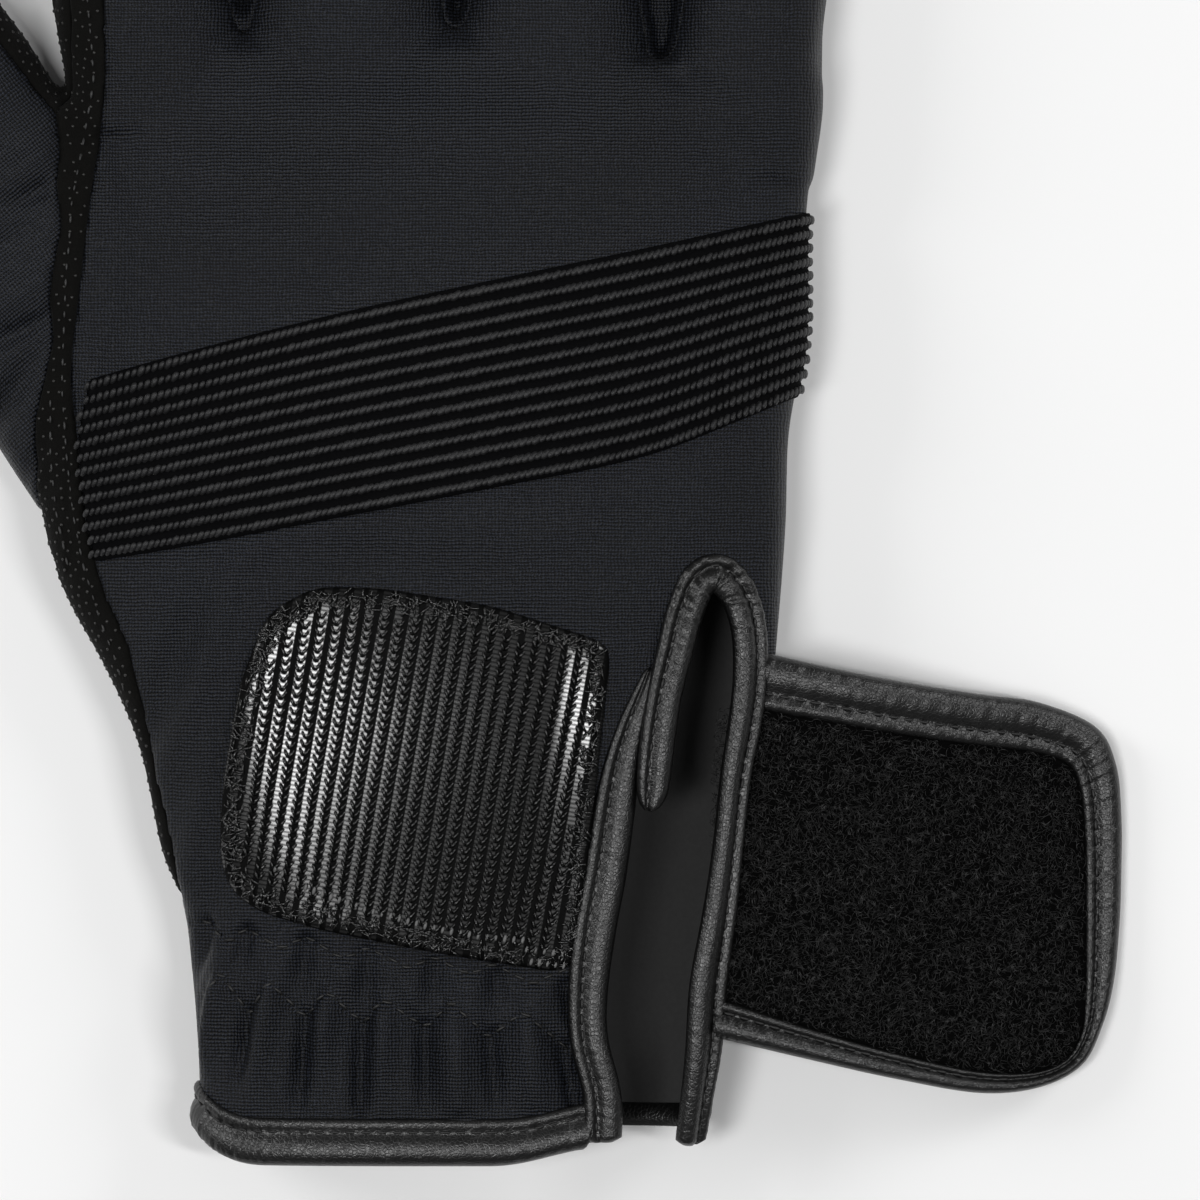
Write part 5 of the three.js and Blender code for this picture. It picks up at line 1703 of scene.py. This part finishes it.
def suede_material():
    board = Board("suede")
    vector = board.place()
    nap = board.noise(vector, 3.2, 4.0, 0.6)
    worn = board.noise(vector, 0.35, 3.0)
    colour = board.mix(nap * 0.6 + worn * 0.4, grey(0.0008, 0.88, 1.04), grey(0.0055, 0.88, 1.04))
    board.bump(nap, 0.14, 0.9)
    return board.set(Base_Color=colour, Roughness=0.95, Sheen_Weight=0.015, Specular_IOR_Level=0.08)


def leather_material():
    board = Board("leather")
    vector = board.place()
    creases = board.cells(vector, 1.9, "DISTANCE_TO_EDGE")
    grain = board.maths("MINIMUM", creases * 5.0, 1.0) * 0.6 + board.noise(vector, 3.0, 3.0) * 0.4
    rub = board.noise(vector, 0.25, 2.0)
    colour = board.mix(grain * 0.5 + rub * 0.5, grey(0.0004), grey(0.0024))
    board.bump(grain, 0.06, 0.6)
    return board.set(
        Base_Color=colour, Roughness=0.36 - grain * 0.08 + rub * 0.1, Specular_IOR_Level=0.52,
    )


def tape_material():
    """Shiny ladders of plastic thread between dull troughs, with painted highlight on the ladders and
    painted shade in the troughs.
    """
    board = Board("hook_tape")
    x, y = board.plan(board.place())
    across = x * math.cos(HOOK_TILT) - y * math.sin(HOOK_TILT)
    along = y * math.cos(HOOK_TILT) + x * math.sin(HOOK_TILT)
    ladder = board.clamped((board.wave(across - TROUGH_PLACE, HOOK_COLUMN) - 0.36) * 5.0)
    rungs = board.wave(along, HOOK_STEP / 2)
    # Base colour is lighter on the ladders and their rungs as painted highlight, darker in the troughs as
    # painted shade; the same share sets the coat's gloss.
    ladder_gloss_and_painted_highlight = ladder * (rungs * 0.75 + 0.25)
    board.bump(ladder * 0.6 + rungs * 0.4, 0.02, 0.4)
    return board.set(
        Base_Color=board.mix(ladder_gloss_and_painted_highlight, grey(0.0003), grey(0.0030)), Roughness=0.7, Specular_IOR_Level=0.08,
        Coat_Weight=ladder_gloss_and_painted_highlight, Coat_Roughness=0.18, Coat_IOR=1.58,
    )


def hook_material():
    board = Board("hook_wire")
    vector = board.place()
    patches = board.noise(vector, 0.3, 2.0)
    return board.set(
        Base_Color=board.mix(patches, grey(0.0004), grey(0.0015)), Roughness=0.15 + patches * 0.12,
        Specular_IOR_Level=0.62,
    )


def pile_material():
    board = Board("loop_pile")
    vector = board.place()
    strands = board.noise(vector, 1.4, 3.0)
    # The lighter strands are painted highlight on black fibres, spread by noise.
    painted_fibre_highlight = board.clamped(strands * 5.0 - 2.6)
    colour = board.mix(painted_fibre_highlight, grey(0.0012), grey(0.055))
    return board.set(Base_Color=colour, Roughness=0.5, Specular_IOR_Level=0.4)


# Dressing
def dress(piece, materials, nodes=()):
    """Gives a finished piece its finishes and its body, and hides the solids that it stands for."""
    if materials:
        piece.data.materials.clear()
        for material in materials:
            piece.data.materials.append(material)
    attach(piece, "root")
    if nodes:
        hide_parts(*nodes)
    return piece


def wrinkle_all(line):
    return np.full(len(line), 0.35)


def wrinkle_arch(line):
    """Gathers crowd the leather where it turns round the top of the slit."""
    return 0.35 + 1.6 * np.exp(-(((line[:, 1] - SLIT_LENGTH) / 6) ** 2))


def sew_panels(panels):
    """Gives each panel its wall, its outside and its fleecy inside, whose colour is painted lighter to
    offset the shade in the glove's hollow.
    """
    knit = knit_material("knit", 0)
    thumb_knit = knit_material("knit_on_thumb", THUMB_KNIT_TURN)
    suede = suede_material()
    # The inside's grey is painted light: paler than the cloth, to offset the shade inside the glove.
    inside = flecked(
        "cloth_inside_lightened_against_shade", (1.6, 3.0), grey(0.034), grey(0.046), (0.08, 0.4),
        Roughness=0.95, Specular_IOR_Level=0.1,
    )
    for name, piece in panels.items():
        knitted = name in ("back_panel", "thumb_back") or name.startswith("fourchette")
        outside = thumb_knit if name == "thumb_back" else knit if knitted else suede
        piece.data.materials.append(outside)
        piece.data.materials.append(inside)
        dress(give_wall(piece), [], (name,))


def set_grip_dots(grip):
    drops = repeat_tree("drops", dot_shape)
    dots = flecked(
        "grip_dots", (0.8, 2.0), grey(0.005, 0.92, 1.03), grey(0.020, 0.92, 1.03),
        Roughness=0.4, Specular_IOR_Level=0.4,
    )
    for name, points in grip.items():
        dress(repeated(name, points, drops, GRIP_DOT, dots), [])


def weave_band(capsules):
    """The elastic band: its sunk ground, and a twisted cord along each rib."""
    ground = flecked(
        "elastic_ground", (3.0, 3.0, 0.6), grey(0.0008, 1.2), grey(0.0025, 1.15),
        Roughness=0.9, Specular_IOR_Level=0.05,
    )
    elastic = flecked(
        "elastic", (5.0, 3.0, 0.6), grey(0.0015, 1.2), grey(0.0075, 1.15), (0.08, 0.8),
        Roughness=0.5, Sheen_Weight=0.02, Specular_IOR_Level=0.4,
    )
    web = dress(band_piece(), [ground], ("elastic_band",))
    cords = repeated("elastic_band_cords", band_cord_points(), capsules, CORD_TURN, elastic, 0.16)
    dress(cords, [])
    band_length = band_angles(10)[1]


def sew_hook_patch(capsules, rng):
    """The hook tape with its painted ladder highlight and trough shade, its standing hooks, the crushed
    ones of its border and its bars of pale thread with painted highlight.
    """
    hooks = repeat_tree("hooks", hook_shape)
    wire = hook_material()
    # The bars' thread is pale, and its colour is lightened further as painted highlight.
    bar_thread = thread_material("pale_bar_thread_painted_highlight", 0.02, 0.16)
    tape = dress(patch_piece(), [tape_material()], ("hook_patch",))
    over = [
        repeated("hook_patch_hooks", hook_points(), hooks, HOOK, wire, 0.12, 5),
        repeated("hook_patch_border", crushed_hook_points(rng), hooks, CRUSHED_HOOK, wire, 0.3, 6),
        repeated("hook_patch_bars", patch_stitch_points(), capsules, PATCH_BAR, bar_thread, 0.2),
    ]
    for piece in over:
        dress(piece, [])


def bind_with_leather():
    """The bindings of the slit and the hem, and the tab with its rolled edge."""
    pieces = {
        "slit_binding": binding_piece("slit_binding", SLIT_LINE, wrinkle_arch),
        "placket_binding": binding_piece("placket_binding", PLACKET_LINE, wrinkle_all),
        "hem_binding": hem_piece(),
        "tab_binding": tab_rim_piece(),
        "tab": tab_grid("tab_leather", TAB_UNDERSIDE, TAB_TOP, lambda x, y: 0 * x),
    }
    leather = leather_material()
    for node, piece in pieces.items():
        dress(piece, [leather], (node,))


def fill_tab(rng):
    """The loop pad on the tab, and two layers of its curly fibres."""
    backing = flecked(
        "pile_backing", (2.5, 4.0, 0.7), grey(0.0005), grey(0.0022), (0.4, 0.8),
        Roughness=0.95, Specular_IOR_Level=0.04,
    )
    pad = tab_grid("loop_pad_backing", PAD_UNDERSIDE, PAD_TOP, pad_dimples)
    dress(pad, [backing], ("loop_pad",))
    fibres = thread_tree()
    pile = pile_material()
    for layer, low_rise, high_rise in PILE_LAYERS:
        chains = pile_lines(rng, low_rise, high_rise)
        dress(pile_piece(f"loop_pad_fibres_{layer}", chains, fibres, pile), [])


def sew_strip_stitches(capsules, strip_rows):
    """Fine pale stitches along the suede strip, as one piece."""
    pale_thread = thread_material("pale_thread", 0.006, 0.024)
    rows = tuple(np.concatenate(part) for part in zip(*strip_rows))
    dress(repeated("side_strip_stitches", rows, capsules, STRIP_STITCH, pale_thread, 0.25), [])


def sew_stitches(capsules, gather_rows):
    """Stitches in the grooves of the leather and along the zigzag rows."""
    thread = thread_material("thread", 0.0025, 0.010)
    leather_rows = {
        "slit_stitches": groove_points(SLIT_LINE, 1, -1),
        "placket_stitches": groove_points(PLACKET_LINE, 1, -3),
        "hem_stitches": hem_stitches(),
        "tab_stitches": tab_stitch_points(),
    }
    for slot, stitch_rows in (("leather", leather_rows), ("knit", gather_rows)):
        for name, points in stitch_rows.items():
            dress(repeated(name, points, capsules, STITCH, thread), [])


def build():
    """Makes every piece. The dots and the stitches on cloth are placed before the cloth has its wall."""
    rng = np.random.default_rng(11)
    capsules = repeat_tree("capsules", capsule_shape)
    panels = make_panels()
    back = panels["back_panel"]
    grip = {name: dot_points(panels[panel], gap, margin) for name, panel, gap, margin in GRIP_DOTS}
    strip_rows = [seam_stitches(panels["side_strip"], row) for row in STRIP_STITCHES]
    gather_rows = {
        "gather_stitches_upper": seam_stitches(back, ZIGZAG_UPPER),
        "gather_stitches_lower": seam_stitches(back, ZIGZAG_LOWER),
    }
    sew_panels(panels)
    set_grip_dots(grip)
    sew_strip_stitches(capsules, strip_rows)
    weave_band(capsules)
    sew_hook_patch(capsules, rng)
    bind_with_leather()
    fill_tab(rng)
    sew_stitches(capsules, gather_rows)


# Studio: each light's place and size in metres and its power in watts, aimed at the glove's middle
LIGHTS = [
    {"name": "strip_left", "place": (-0.25, -0.15, 1.0), "size": (0.17, 0.34), "power": 4.8},
    {"name": "strip_right", "place": (0.43, -0.15, 1.0), "size": (0.06, 0.34), "power": 3.3},
    {"name": "soft_left", "place": (-0.8, 0.3, 0.5), "size": (0.35, 0.5), "power": 3.6},
    {"name": "soft_right", "place": (0.75, 0.45, 0.55), "size": (0.35, 0.5), "power": 2.9},
]
SURROUNDING_LIGHT = 0.17
FLOOR_HALF = 1.5


def light(name, place, size, power):
    """A rectangular light that faces the middle of the floor."""
    lamp = bpy.data.lights.new(name, "AREA")
    lamp.shape = "RECTANGLE"
    lamp.size, lamp.size_y = size
    lamp.energy = power
    holder = bpy.data.objects.new(name, lamp)
    holder.location = place
    direction = -np.array(place)
    yaw = math.atan2(direction[0], -direction[1])
    pitch = math.atan2(math.hypot(direction[0], direction[1]), -direction[2])
    holder.rotation_euler = (pitch, 0, yaw + math.pi)
    bpy.context.scene.collection.objects.link(holder)


# The photograph's frame: its scale and its middle, in the glove's plan
VIEW_WIDTH = 156
VIEW_MIDDLE = (19.5, 73.45)
CAMERA_HEIGHT = 1300
FOCUS_HEIGHT = 15
SENSOR = 36


def studio():
    """A pale floor, soft lights and a camera straight above, framed as the photograph is."""
    corners = [(-1, -1, 0), (1, -1, 0), (1, 1, 0), (-1, 1, 0)]
    floor = new_piece("floor", np.array(corners) * FLOOR_HALF, [[0, 1, 2, 3]])
    floor.data.materials.append(flecked(
        "pale_floor", (0.004, 2.0), grey(0.83), grey(0.84), Roughness=0.9, Specular_IOR_Level=0.1,
    ))
    scene = bpy.context.scene
    scene.view_settings.view_transform = "Standard"
    world = bpy.data.worlds.new("studio")
    world.use_nodes = True
    background = world.node_tree.nodes["Background"]
    background.inputs["Color"].default_value = (1, 1, 1, 1)
    background.inputs["Strength"].default_value = SURROUNDING_LIGHT
    scene.world = world
    for lamp in LIGHTS:
        light(**lamp)
    lens = bpy.data.cameras.new("camera")
    lens.sensor_width = SENSOR
    lens.lens = SENSOR * (CAMERA_HEIGHT - FOCUS_HEIGHT) / VIEW_WIDTH
    lens.clip_end = 10
    camera = bpy.data.objects.new("camera", lens)
    camera.location = to_frame([VIEW_MIDDLE[0], VIEW_MIDDLE[1], CAMERA_HEIGHT])
    scene.collection.objects.link(camera)
    scene.camera = camera


build()
studio()
